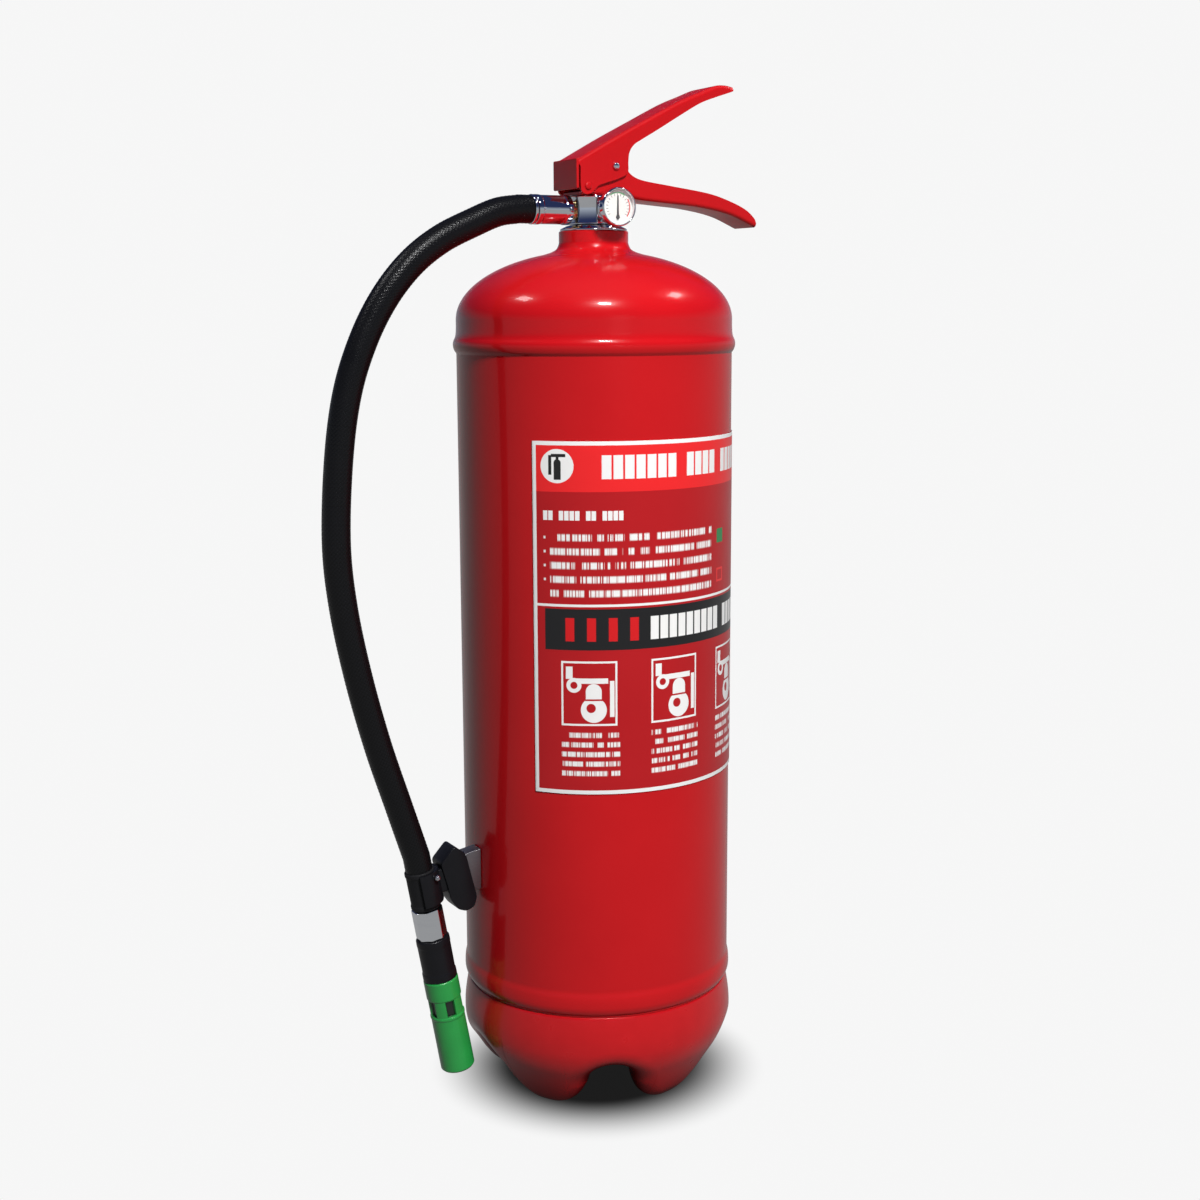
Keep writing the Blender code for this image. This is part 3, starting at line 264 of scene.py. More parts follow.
def placed(points, place):
    """Points moved by a matrix, as one array product."""
    matrix = np.array(place)
    return points @ matrix[:3, :3].T + matrix[:3, 3]


def turned(profile, place=Matrix(), steps=96, closed=False):
    """A profile of (radius, height) points turned about +Z: x = r cos a, y = r sin a."""
    profile = np.asarray(profile, float)
    angle = np.linspace(0, math.tau, steps, endpoint=False)
    radius, height = profile[:, :1], profile[:, 1:]
    up = np.broadcast_to(height, (len(profile), steps))
    points = np.stack([radius * np.cos(angle), radius * np.sin(angle), up], axis=-1)
    return surface(placed(points, place), wrap_rows=closed)


def softened(outline, reach, steps=6, closed=True):
    """An outline whose corners are parabolas that start and end reach before and after each corner."""
    points = np.asarray(outline, float)
    reach = np.array(np.broadcast_to(reach, len(points)), float)
    if not closed:
        reach[[0, -1]] = 0
    sides = []
    for other in (np.roll(points, 1, 0), np.roll(points, -1, 0)):
        gap = np.maximum(np.linalg.norm(other - points, axis=1), MERGE)
        sides.append(points + (other - points) * np.minimum(reach / gap, 0.48)[:, None])
    t = np.linspace(0, 1, steps)[None, :, None]
    start, end = sides[0][:, None], sides[1][:, None]
    return ((1 - t) ** 2 * start + 2 * t * (1 - t) * points[:, None] + t**2 * end).reshape(-1, 2)


def arc(centre, radius, start, end, count):
    """Points on a circle round centre, from start to end in degrees."""
    turn = np.radians(np.linspace(start, end, count))
    return np.stack([centre[0] + radius * np.cos(turn), centre[1] + radius * np.sin(turn)], axis=-1)


def through(knots, count):
    """Count rows at even parameters on a Catmull-Rom curve through the rows of knots."""
    knots = np.asarray(knots, float)
    ends = np.concatenate([2 * knots[:1] - knots[1:2], knots, 2 * knots[-1:] - knots[-2:-1]])
    place = np.linspace(0, len(knots) - 1, count)
    k = np.minimum(place.astype(int), len(knots) - 2)
    t = (place - k)[:, None]
    a, b, c, d = (ends[k + i] for i in range(4))
    return 0.5 * (2 * b + (c - a) * t + (2 * a - 5 * b + 4 * c - d) * t**2 + (3 * b - a - 3 * c + d) * t**3)


def bar(profile, place=Matrix(), steps=96, reach=0.0004):
    """A solid turned bar: (radius, height) corners from top to bottom, softened and closed on the axis."""
    ends = [(0.0, profile[0][1]), *profile, (0.0, profile[-1][1])]
    return turned(softened(ends, reach, closed=False), place, steps)


def ring(profile, place=Matrix(), steps=96, reach=0.0003):
    """A closed turned ring from (radius, height) corners, softened all round."""
    return turned(softened(profile, reach), place, steps, closed=True)


def prism(outline, levels, place=Matrix()):
    """A capped column: the (x, y) outline is scaled by each level's factor at its height, bottom to top."""
    levels = np.asarray(levels, float)
    outline = np.asarray(outline, float)
    flat = outline[None] * levels[:, 1, None, None]
    height = np.broadcast_to(levels[:, 0, None, None], (len(levels), len(outline), 1))
    return surface(placed(np.concatenate([flat, height], axis=-1), place), capped=True)


def plate(outline, half, place, edge):
    """An (x, z) outline, thick by half each way along y, with both rims rounded in by edge."""
    outline = np.asarray(outline, float)
    centre = outline.mean(0)
    size = np.abs(outline - centre).max()
    rounding = np.radians(np.linspace(0, 90, 5))
    inward = np.concatenate([1 - np.cos(rounding[::-1]), 1 - np.cos(rounding)])
    side = np.concatenate([-half + edge * (1 - np.sin(rounding[::-1])), half - edge * (1 - np.sin(rounding))])
    factor = (1 - inward * edge / size)[:, None]
    x = centre[0] + (outline[:, 0] - centre[0]) * factor
    z = centre[1] + (outline[:, 1] - centre[1]) * factor
    y = np.broadcast_to(side[:, None], x.shape)
    return surface(placed(np.stack([x, y, z], axis=-1), place), capped=True)


def channel(ridge, rim, half, bend, wall=PLATE):
    """A pressed channel along paired (x, z) lines: its back follows ridge and its two free edges follow rim.

    At each step the section goes from one rim up its side, round a bend, across the back and down the other
    side, then returns one wall inside. A point's depth is an own offset plus a share of that step's height.
    """
    edge = 0.0003
    inner = max(bend - wall, edge)
    turn = np.radians(np.linspace(0, 90, 7))
    share = np.linspace(1, 0, 9)
    zero = np.zeros(7)
    outer_y = np.r_[half - edge, np.full(9, half), half - bend * (1 - np.cos(turn))]
    outer_own = np.r_[edge, 0.0, np.full(8, bend), bend * (1 - np.sin(turn))]
    outer_part = np.r_[1.0, share, zero]
    inner_y = np.r_[np.full(9, half - wall), half - wall - inner * (1 - np.cos(turn))]
    inner_own = np.r_[0.0, np.full(8, wall + edge), wall + inner * (1 - np.sin(turn))]
    inner_part = np.r_[share, zero]
    across = np.r_[-outer_y, outer_y[::-1], inner_y, -inner_y[::-1]]
    own = np.r_[outer_own, outer_own[::-1], inner_own, inner_own[::-1]]
    part = np.r_[outer_part, outer_part[::-1], inner_part, inner_part[::-1]]
    down = rim - ridge
    height = np.linalg.norm(down, axis=1, keepdims=True)
    depth = own[None] + part[None] * np.maximum(height - own[None], 0.0)
    along = down / height
    x = ridge[:, :1] + along[:, :1] * depth
    z = ridge[:, 1:] + along[:, 1:] * depth
    return surface(np.stack([x, np.broadcast_to(across, x.shape), z], axis=-1), capped=True)


# Finishes


def new_finish(name):
    made = bpy.data.materials.new(name)
    made.use_nodes = True
    tree = made.node_tree
    return made, tree, tree.nodes["Principled BSDF"]


def place_of(tree):
    """The object's own coordinates, in metres."""
    return tree.nodes.new("ShaderNodeTexCoord").outputs["Object"]


def marked(tree, name):
    """The value that the piece's own attribute of this name holds."""
    attribute = tree.nodes.new("ShaderNodeAttribute")
    attribute.attribute_name = name
    return attribute.outputs["Fac"]


def stretched(tree, vector, scale):
    mapping = tree.nodes.new("ShaderNodeMapping")
    mapping.inputs["Scale"].default_value = scale
    tree.links.new(vector, mapping.inputs["Vector"])
    return mapping.outputs["Vector"]


def noise(tree, vector, scale, detail=3.0):
    texture = tree.nodes.new("ShaderNodeTexNoise")
    texture.inputs["Scale"].default_value = scale
    texture.inputs["Detail"].default_value = detail
    tree.links.new(vector, texture.inputs["Vector"])
    return texture.outputs["Fac"]


def calc(tree, operation, *values):
    """One Math node over sockets and numbers."""
    node = tree.nodes.new("ShaderNodeMath")
    node.operation = operation
    for socket, value in zip(node.inputs, values):
        if isinstance(value, (int, float)):
            socket.default_value = value
        else:
            tree.links.new(value, socket)
    return node.outputs[0]


def spread(tree, value, low, high, to_low=0.0, to_high=1.0):
    """Value carried from low..high to to_low..to_high, clamped."""
    node = tree.nodes.new("ShaderNodeMapRange")
    for name, number in (("From Min", low), ("From Max", high), ("To Min", to_low), ("To Max", to_high)):
        node.inputs[name].default_value = number
    tree.links.new(value, node.inputs["Value"])
    return node.outputs["Result"]


def blend_colours(tree, share, first, second):
    """A colour that goes from first to second; each is a socket or an (r, g, b)."""
    node = tree.nodes.new("ShaderNodeMix")
    node.data_type = "RGBA"
    tree.links.new(share, node.inputs["Factor"])
    for socket, value in ((node.inputs[6], first), (node.inputs[7], second)):
        if isinstance(value, tuple):
            socket.default_value = (*value, 1.0)
        else:
            tree.links.new(value, socket)
    return node.outputs[2]


def bumped(tree, shader, height, distance):
    node = tree.nodes.new("ShaderNodeBump")
    node.inputs["Distance"].default_value = distance
    tree.links.new(height, node.inputs["Height"])
    tree.links.new(node.outputs["Normal"], shader.inputs["Normal"])


def wired(tree, shader, colour, roughness):
    tree.links.new(colour, shader.inputs["Base Color"])
    tree.links.new(roughness, shader.inputs["Roughness"])


def coated(shader, gloss, coat, coat_roughness):
    """How strongly the surface mirrors, and the clear coat over it."""
    shader.inputs["Specular IOR Level"].default_value = gloss
    shader.inputs["Coat Weight"].default_value = coat
    shader.inputs["Coat Roughness"].default_value = coat_roughness


def mottled(tree, shader, colour, shade, scale, roughness, swing):
    """Colour and roughness that drift a little over the surface."""
    drift = noise(tree, place_of(tree), scale)
    rough = spread(tree, drift, 0.1, 0.9, roughness - swing, roughness + swing)
    wired(tree, shader, blend_colours(tree, drift, colour, shade), rough)


def painted(name, colour, shade, roughness, coat, peel):
    """Gloss paint: a drifting colour under a clear coat, with the fine ripple of sprayed paint."""
    made, tree, shader = new_finish(name)
    coated(shader, 0.15, coat, 0.05)
    mottled(tree, shader, colour, shade, 22.0, roughness, 0.04)
    bumped(tree, shader, noise(tree, place_of(tree), 260.0, 2.0), peel)
    return made


def bright_metal(name, colour, shade, roughness, swing, grain, depth):
    """Plated or bare metal: fine scratches drawn out sideways vary its gloss."""
    made, tree, shader = new_finish(name)
    shader.inputs["Metallic"].default_value = 1.0
    lines = noise(tree, stretched(tree, place_of(tree), grain), 1.0, 4.0)
    rough = spread(tree, lines, 0.3, 0.7, roughness - swing, roughness + swing)
    wired(tree, shader, blend_colours(tree, lines, colour, shade), rough)
    bumped(tree, shader, lines, depth)
    return made


def moulded(name, colour, shade, roughness, grain_scale, grain_depth, coat=0.0, gloss=0.5):
    """Moulded plastic or rubber with a fine grain in its skin."""
    made, tree, shader = new_finish(name)
    coated(shader, gloss, coat, 0.12)
    mottled(tree, shader, colour, shade, 90.0, roughness, 0.06)
    bumped(tree, shader, noise(tree, place_of(tree), grain_scale, 2.0), grain_depth)
    return made


def with_painted_shade(made, mark, colour):
    """Paints shade: turns the finish towards a dark colour where the piece's own mark says so."""
    tree = made.node_tree
    shader = tree.nodes["Principled BSDF"]
    before = shader.inputs["Base Color"].links[0].from_socket
    tree.links.new(blend_colours(tree, marked(tree, mark), before, colour), shader.inputs["Base Color"])
    return made


def braided(name):
    """Black woven cover: the raised strands are glossier than the gaps between them."""
    made, tree, shader = new_finish(name)
    shader.inputs["Specular IOR Level"].default_value = 0.22
    strand = marked(tree, "strand")
    worn = spread(tree, noise(tree, place_of(tree), 60.0), 0.3, 0.7, -0.05, 0.05)
    rough = calc(tree, "ADD", spread(tree, strand, 0.0, 1.0, 0.50, 0.22), worn)
    wired(tree, shader, blend_colours(tree, strand, (0.001, 0.001, 0.001), (0.006, 0.006, 0.007)), rough)
    bumped(tree, shader, noise(tree, place_of(tree), 3000.0, 1.0), 0.00003)
    return made


def clear_glass(name):
    """Nearly clear, with faint smears in its gloss."""
    made, tree, shader = new_finish(name)
    shader.inputs["Base Color"].default_value = (0.96, 0.98, 1.0, 1.0)
    shader.inputs["Alpha"].default_value = 0.05
    smear = noise(tree, place_of(tree), 180.0)
    tree.links.new(spread(tree, smear, 0.3, 0.7, 0.02, 0.06), shader.inputs["Roughness"])
    return made


# Printed masks: 1 where a mark is and 0 elsewhere


def both(tree, first, second):
    return calc(tree, "MULTIPLY", first, second)


def either(tree, *masks):
    total = masks[0]
    for mask in masks[1:]:
        total = calc(tree, "MAXIMUM", total, mask)
    return total


def without(tree, mask, hole):
    return both(tree, mask, calc(tree, "SUBTRACT", 1.0, hole))


def window(tree, value, low, high, soft=0.08):
    """1 where low < value < high, with an edge as soft as stated."""
    rise = spread(tree, value, low - soft, low + soft)
    fall = spread(tree, value, high - soft, high + soft, 1.0, 0.0)
    return both(tree, rise, fall)


def patch(tree, across, up, left, right, low, high):
    """A rectangle."""
    return both(tree, window(tree, across, left, right), window(tree, up, low, high))


def distance(tree, across, up):
    """The root of the two squared offsets."""
    squares = calc(tree, "ADD", calc(tree, "MULTIPLY", across, across), calc(tree, "MULTIPLY", up, up))
    return calc(tree, "SQRT", squares)


def disc(tree, across, up, centre_x, centre_y, radius):
    """The inside of a circle."""
    soft = 0.1
    away = distance(tree, calc(tree, "SUBTRACT", across, centre_x), calc(tree, "SUBTRACT", up, centre_y))
    return spread(tree, away, radius - soft, radius + soft, 1.0, 0.0)


def through_step(tree, value, pitch):
    """How far a value is through its own step of a repeated pitch, from 0 to 1."""
    return calc(tree, "FRACT", calc(tree, "DIVIDE", value, pitch))


# The label's print, in millimetres from the film's lower left corner
LABEL_WIDTH_MM = 1000 * LABEL_RADIUS * (LABEL_END - LABEL_START)
LABEL_HEIGHT_MM = 1000 * (LABEL_HIGH - LABEL_LOW)
BORDER = 2.2
HEADER_LOW = LABEL_HEIGHT_MM - 27.5
BADGE_X, BADGE_Y = 14.3, HEADER_LOW + 14.0
TITLE_WORDS = ((38.4, 83.2), (89.6, 115.2), (121.6, 198.4))
HEADING_WORDS = ((6.0, 12.0), (15.0, 27.0), (30.0, 36.0), (39.0, 51.0))
ROWS_LOW, ROWS_HIGH = 110.0, 148.7
ROWS_PITCH = 7.75
SQUARES_LEFT, SQUARES_RIGHT = 118.0, 126.0
DIVIDER = 107.2
PANEL_LOW, PANEL_HIGH = 82.2, 105.3
PANEL_LEAD = ((18.0, 24.0), (30.0, 36.0), (42.0, 48.0), (54.0, 60.0))
PANEL_WORDS = ((66.0, 120.0), (126.0, 186.0))
FRAMES_START = 15.9
FRAMES_PITCH = 51.0
FRAME_WIDTH = 31.2
FRAMES_LOW, FRAMES_HIGH = 39.4, 76.0
CAPTIONS_LOW, CAPTIONS_HIGH = 9.2, 36.7


def marks_in_rows(tree, across, up, pitch, bold, stroke, seed):
    """Rows of short upright strokes with gaps, like small print that spells nothing."""
    row = calc(tree, "FLOOR", calc(tree, "DIVIDE", up, pitch))
    in_row = window(tree, through_step(tree, up, pitch), 0.5 - bold / 2, 0.5 + bold / 2, 0.06)

    def broken(width, shift, layer, detail, low, high):
        place = tree.nodes.new("ShaderNodeCombineXYZ")
        tree.links.new(calc(tree, "DIVIDE", across, width), place.inputs[0])
        tree.links.new(calc(tree, "MULTIPLY", row, shift), place.inputs[1])
        place.inputs[2].default_value = layer
        return spread(tree, noise(tree, place.outputs[0], 1.0, detail), low, high)

    letters = broken(stroke, 7.3, seed, 1.0, 0.40, 0.48)
    words = broken(stroke * 5.5, 3.1, seed + 4.0, 0.0, 0.36, 0.40)
    return both(tree, in_row, both(tree, letters, words))


def block_words(tree, across, up, low, high, pitch, words):
    """Rows of plain blocks for words: a block each pitch, kept where words (start, end) say."""
    blocks = window(tree, through_step(tree, across, pitch), 0.08, 0.90, 0.03)
    kept = either(tree, *(patch(tree, across, up, start, end, low, high) for start, end in words))
    return both(tree, blocks, kept)


def pictogram(tree, across, up, centre_x, centre_y, size):
    """A small bottle with a handle and a hose: boxes and a disc, in shares of its size."""

    def box(left, right, low, high):
        sides = centre_x + left * size, centre_x + right * size
        return patch(tree, across, up, *sides, centre_y + low * size, centre_y + high * size)

    shoulder = disc(tree, across, up, centre_x + 0.02 * size, centre_y + 0.22 * size, 0.18 * size)
    bottle = either(tree, box(-0.16, 0.20, -0.62, 0.22), shoulder, box(-0.05, 0.09, 0.20, 0.55))
    return either(tree, bottle, box(-0.30, 0.44, 0.50, 0.66), box(-0.44, -0.28, -0.38, 0.60))


def in_frames(tree, across):
    """Millimetres from the left of the nearest frame, and a mask of all that lies in their row."""
    from_start = calc(tree, "SUBTRACT", across, FRAMES_START)
    local = calc(tree, "MULTIPLY", through_step(tree, from_start, FRAMES_PITCH), FRAMES_PITCH)
    return local, window(tree, across, FRAMES_START - 1.0, LABEL_WIDTH_MM - 4.0)


def label_frames(tree, across, up):
    """White-edged squares in a row, each with a simple round-headed figure made of discs and boxes."""
    local, in_row = in_frames(tree, across)
    line = 1.1
    outer = patch(tree, local, up, 0.0, FRAME_WIDTH, FRAMES_LOW, FRAMES_HIGH)
    inner = patch(tree, local, up, line, FRAME_WIDTH - line, FRAMES_LOW + line, FRAMES_HIGH - line)
    middle = FRAME_WIDTH * 0.58
    low = FRAMES_LOW + 1.0
    shapes = either(
        tree,
        disc(tree, local, up, middle, low + 8.0, 7.2),
        patch(tree, local, up, middle - 4.4, middle + 4.4, low + 8.0, low + 18.5),
        disc(tree, local, up, middle, low + 18.5, 4.4),
        patch(tree, local, up, middle - 11.0, middle + 8.0, low + 23.0, low + 26.0),
        disc(tree, local, up, middle - 11.0, low + 22.0, 4.2),
        patch(tree, local, up, middle + 9.0, middle + 11.5, low + 4.0, low + 24.5),
    )
    cuts = either(
        tree,
        disc(tree, local, up, middle - 1.5, low + 9.0, 2.6),
        patch(tree, local, up, middle - 6.0, middle + 6.0, low + 13.2, low + 14.2),
        disc(tree, local, up, middle - 11.0, low + 22.0, 2.0),
    )
    drawing = both(tree, without(tree, shapes, cuts), inner)
    corner = patch(tree, local, up, 2.6, 6.4, FRAMES_HIGH - 10.0, FRAMES_HIGH - 3.0)
    return both(tree, either(tree, without(tree, outer, inner), drawing, corner), in_row)


def label_notes(tree, across, up):
    """Small print: a heading and five rows with bullets above the divider, and rows under the frames."""
    heading = block_words(tree, across, up, 154.4, 159.6, 3.0, HEADING_WORDS)
    from_rows = calc(tree, "SUBTRACT", up, ROWS_LOW)
    rows = marks_in_rows(tree, across, from_rows, ROWS_PITCH, 0.46, 0.85, 2.0)
    rows = both(tree, rows, patch(tree, across, up, 10.0, 112.0, ROWS_LOW, ROWS_HIGH))
    bullets = window(tree, through_step(tree, from_rows, ROWS_PITCH), 0.42, 0.58, 0.05)
    bullets = both(tree, bullets, patch(tree, across, up, 6.3, 7.5, ROWS_LOW + ROWS_PITCH, ROWS_HIGH))
    local, in_row = in_frames(tree, across)
    from_captions = calc(tree, "SUBTRACT", up, CAPTIONS_LOW)
    captions = marks_in_rows(tree, across, from_captions, 5.5, 0.50, 0.62, 3.0)
    below = patch(tree, local, up, 0.0, FRAME_WIDTH + 1.5, CAPTIONS_LOW, CAPTIONS_HIGH)
    return either(tree, heading, rows, bullets, both(tree, both(tree, captions, below), in_row))


def label_white(tree, across, up):
    """All that is printed white: border, badge, title, divider, the panel's words, frames and notes."""
    right, top = LABEL_WIDTH_MM - BORDER, LABEL_HEIGHT_MM - BORDER
    inside = patch(tree, across, up, BORDER, right, BORDER, top)
    return either(
        tree,
        calc(tree, "SUBTRACT", 1.0, inside),
        disc(tree, across, up, BADGE_X, BADGE_Y, 9.3),
        block_words(tree, across, up, HEADER_LOW + 7.0, HEADER_LOW + 20.0, 6.4, TITLE_WORDS),
        patch(tree, across, up, BORDER, right, DIVIDER - 0.7, DIVIDER + 0.7),
        block_words(tree, across, up, PANEL_LOW + 5.0, PANEL_HIGH - 5.0, 6.0, PANEL_WORDS),
        label_frames(tree, across, up),
        label_notes(tree, across, up),
    )


def printed_label(name):
    """Red film with a bright header, a dark panel, two small squares and all the white print."""
    made, tree, shader = new_finish(name)
    across, up = marked(tree, "across_mm"), marked(tree, "up_mm")
    header = patch(tree, across, up, BORDER, LABEL_WIDTH_MM - BORDER, HEADER_LOW, LABEL_HEIGHT_MM - BORDER)
    panel = patch(tree, across, up, 6.8, LABEL_WIDTH_MM - 6.8, PANEL_LOW, PANEL_HIGH)
    panel_lead = block_words(tree, across, up, PANEL_LOW + 5.0, PANEL_HIGH - 5.0, 6.0, PANEL_LEAD)
    green_square = patch(tree, across, up, SQUARES_LEFT, SQUARES_RIGHT, 136.5, 144.5)
    red_square = without(
        tree,
        patch(tree, across, up, SQUARES_LEFT, SQUARES_RIGHT, 114.0, 122.0),
        patch(tree, across, up, SQUARES_LEFT + 1.2, SQUARES_RIGHT - 1.2, 115.2, 120.8),
    )
    badge_mark = pictogram(tree, across, up, BADGE_X, BADGE_Y - 0.6, 11.0)
    drift = noise(tree, place_of(tree), 25.0)
    colour = blend_colours(tree, drift, (0.46, 0.010, 0.014), (0.40, 0.008, 0.011))
    prints = (
        (header, (0.80, 0.020, 0.022)),
        (panel, (0.012, 0.012, 0.013)),
        (panel_lead, (0.62, 0.012, 0.015)),
        (green_square, (0.03, 0.22, 0.07)),
        (red_square, (0.75, 0.03, 0.03)),
        (label_white(tree, across, up), (0.86, 0.85, 0.83)),
        (badge_mark, (0.015, 0.015, 0.015)),
    )
    for mask, ink in prints:
        colour = blend_colours(tree, mask, colour, ink)
    wired(tree, shader, colour, spread(tree, drift, 0.3, 0.7, 0.28, 0.40))
    coated(shader, 0.25, 0.2, 0.15)
    bumped(tree, shader, noise(tree, place_of(tree), 150.0, 2.0), 0.00006)
    return made


def dial_face(name):
    """White enamel with short ticks round an arc, and a green and a red stretch outside them."""
    made, tree, shader = new_finish(name)
    split = tree.nodes.new("ShaderNodeSeparateXYZ")
    tree.links.new(stretched(tree, place_of(tree), (1000.0, 1000.0, 1000.0)), split.inputs[0])
    across = split.outputs["X"]
    up = calc(tree, "SUBTRACT", split.outputs["Z"], 1000 * GAUGE_Z)
    radius = distance(tree, across, up)
    angle = calc(tree, "ARCTAN2", across, calc(tree, "ADD", up, 1.0))
    turn = calc(tree, "DIVIDE", angle, math.radians(15))
    near = calc(tree, "ABSOLUTE", calc(tree, "SUBTRACT", turn, calc(tree, "ROUND", turn)))
    ticks = both(tree, spread(tree, near, 0.06, 0.10, 1.0, 0.0), window(tree, radius, 6.0, 7.4, 0.06))

    def stretch(start, end):
        return window(tree, angle, math.radians(start), math.radians(end), 0.02)

    sweep = stretch(-125, 125)
    outside = both(tree, window(tree, radius, 7.5, 8.3, 0.05), sweep)
    aged = noise(tree, place_of(tree), 400.0)
    colour = blend_colours(tree, aged, (0.86, 0.85, 0.80), (0.80, 0.79, 0.74))
    prints = (
        (both(tree, ticks, sweep), (0.05, 0.05, 0.05)),
        (both(tree, outside, stretch(-32, 32)), (0.10, 0.42, 0.14)),
        (both(tree, outside, stretch(50, 125)), (0.62, 0.05, 0.04)),
    )
    for mask, ink in prints:
        colour = blend_colours(tree, mask, colour, ink)
    wired(tree, shader, colour, spread(tree, aged, 0.3, 0.7, 0.35, 0.5))
    return made


# What each finish is made of
RED = (0.560, 0.007, 0.010)
RED_SHADE = (0.480, 0.005, 0.008)
FINE_GRAIN = (500, 500, 4000)
COARSE_GRAIN = (300, 300, 2500)
FINISH = {
    "tank_paint": painted("tank_paint", RED, RED_SHADE, 0.24, 0.30, 0.00002),
    # The handles' red paint, made darker than the tank's as a painted shade
    "handle_paint_and_shade": painted("handle_paint_and_shade", (0.50, 0.006, 0.009), (0.45, 0.005, 0.007), 0.34, 0.2, 0.00002),
    # The boot's red plastic, with painted shade where its "inside" mark is set: the inner skin and beside the
    # arches
    "boot_plastic": with_painted_shade(
        moulded("boot_plastic", (0.545, 0.007, 0.010), (0.46, 0.005, 0.008), 0.30, 500.0, 0.00002, 0.35, 0.25),
        "inside",
        (0.010, 0.002, 0.002),
    ),
    # Painted shade: a near-black finish for the tank's bottom, seen through the boot's arches
    "underside_painted_shade": moulded("underside_painted_shade", (0.012, 0.010, 0.010), (0.020, 0.016, 0.016), 0.6, 400.0, 0.0001),
    "label": printed_label("label"),
    "chrome": bright_metal(
        "chrome", (0.80, 0.82, 0.85), (0.72, 0.74, 0.78), 0.07, 0.02, (60, 60, 400), 0.000002
    ),
    "steel": bright_metal("steel", (0.58, 0.58, 0.60), (0.46, 0.46, 0.48), 0.30, 0.08, FINE_GRAIN, 0.00003),
    "dull_steel": bright_metal(
        "dull_steel", (0.36, 0.36, 0.37), (0.28, 0.28, 0.29), 0.50, 0.06, COARSE_GRAIN, 0.00003
    ),
    "brass": bright_metal("brass", (0.74, 0.53, 0.23), (0.60, 0.42, 0.18), 0.24, 0.06, COARSE_GRAIN, 0.00002),
    "rubber": moulded(
        "rubber", (0.010, 0.010, 0.011), (0.016, 0.016, 0.017), 0.52, 900.0, 0.00005, gloss=0.12
    ),
    "black_plastic": moulded(
        "black_plastic", (0.005, 0.005, 0.006), (0.008, 0.008, 0.010), 0.36, 1400.0, 0.00004, gloss=0.22
    ),
    "braid": braided("braid"),
    # The nozzle tip's green, with painted shade in the window pockets and down the bore
    "green_plastic": with_painted_shade(
        moulded("green_plastic", (0.020, 0.330, 0.060), (0.016, 0.270, 0.050), 0.33, 1200.0, 0.00003, 0.3),
        "pocket",
        (0.006, 0.012, 0.007),
    ),
    "dial": dial_face("dial"),
    "glass": clear_glass("glass"),
}


# Camera and studio

LIT_HEIGHT = 0.30
ROOM_WHITE = (0.925, 0.925, 0.925)


def camera():
    """Stands about a metre from the tank's axis, turned towards the hose, and looks down a little."""
    data = bpy.data.cameras.new("camera")
    data.sensor_width = 36.0
    data.lens = 51.16
    data.shift_x = 0.0040
    obj = bpy.data.objects.new("camera", data)
    azimuth, pitch, roll = math.radians(-29), 0.1713, -0.0047
    away, height = 1.00347, 0.4672
    obj.location = (math.sin(azimuth) * away, -math.cos(azimuth) * away, height)
    look = Matrix.Rotation(azimuth, 4, "Z") @ Matrix.Rotation(math.pi / 2 - pitch, 4, "X")
    obj.rotation_euler = (look @ Matrix.Rotation(roll, 4, "Z")).to_euler()
    bpy.context.scene.collection.objects.link(obj)
    bpy.context.scene.camera = obj


def softbox(name, azimuth, height, distance, size, power, glint=False):
    """An area light that faces the tank's middle: it either lights, or only shows as a glint."""
    light = bpy.data.lights.new(name, "AREA")
    light.shape = "RECTANGLE"
    light.size, light.size_y = size
    light.energy = power
    obj = bpy.data.objects.new(name, light)
    turn = math.radians(azimuth)
    spot = Vector((math.sin(turn) * distance, -math.cos(turn) * distance, height))
    obj.matrix_world = aim(spot, spot - Vector((0, 0, LIT_HEIGHT)))
    obj.visible_glossy = glint
    obj.visible_diffuse = not glint
    bpy.context.scene.collection.objects.link(obj)


def surroundings():
    """A pale room: white to the eye, and brighter and bluer above than at the sides for what it lights."""
    world = bpy.data.worlds.new("room")
    bpy.context.scene.world = world
    world.use_nodes = True
    tree = world.node_tree
    shown = tree.nodes["Background"]
    shown.inputs["Color"].default_value = (*ROOM_WHITE, 1.0)
    lit = tree.nodes.new("ShaderNodeBackground")
    split = tree.nodes.new("ShaderNodeSeparateXYZ")
    tree.links.new(tree.nodes.new("ShaderNodeTexCoord").outputs["Generated"], split.inputs[0])
    height = split.outputs["Z"]
    low = blend_colours(tree, spread(tree, height, -0.5, 0.02), (0.10, 0.10, 0.10), (0.80, 0.88, 1.00))
    high = blend_colours(tree, spread(tree, height, 0.02, 0.30), low, (0.05, 0.07, 0.20))
    tree.links.new(high, lit.inputs["Color"])
    path = tree.nodes.new("ShaderNodeLightPath")
    tree.links.new(spread(tree, path.outputs["Is Glossy Ray"], 0.0, 1.0, 0.22, 0.50), lit.inputs["Strength"])
    pick = tree.nodes.new("ShaderNodeMixShader")
    tree.links.new(path.outputs["Is Camera Ray"], pick.inputs[0])
    tree.links.new(lit.outputs[0], pick.inputs[1])
    tree.links.new(shown.outputs[0], pick.inputs[2])
    tree.links.new(pick.outputs[0], tree.nodes["World Output"].inputs["Surface"])


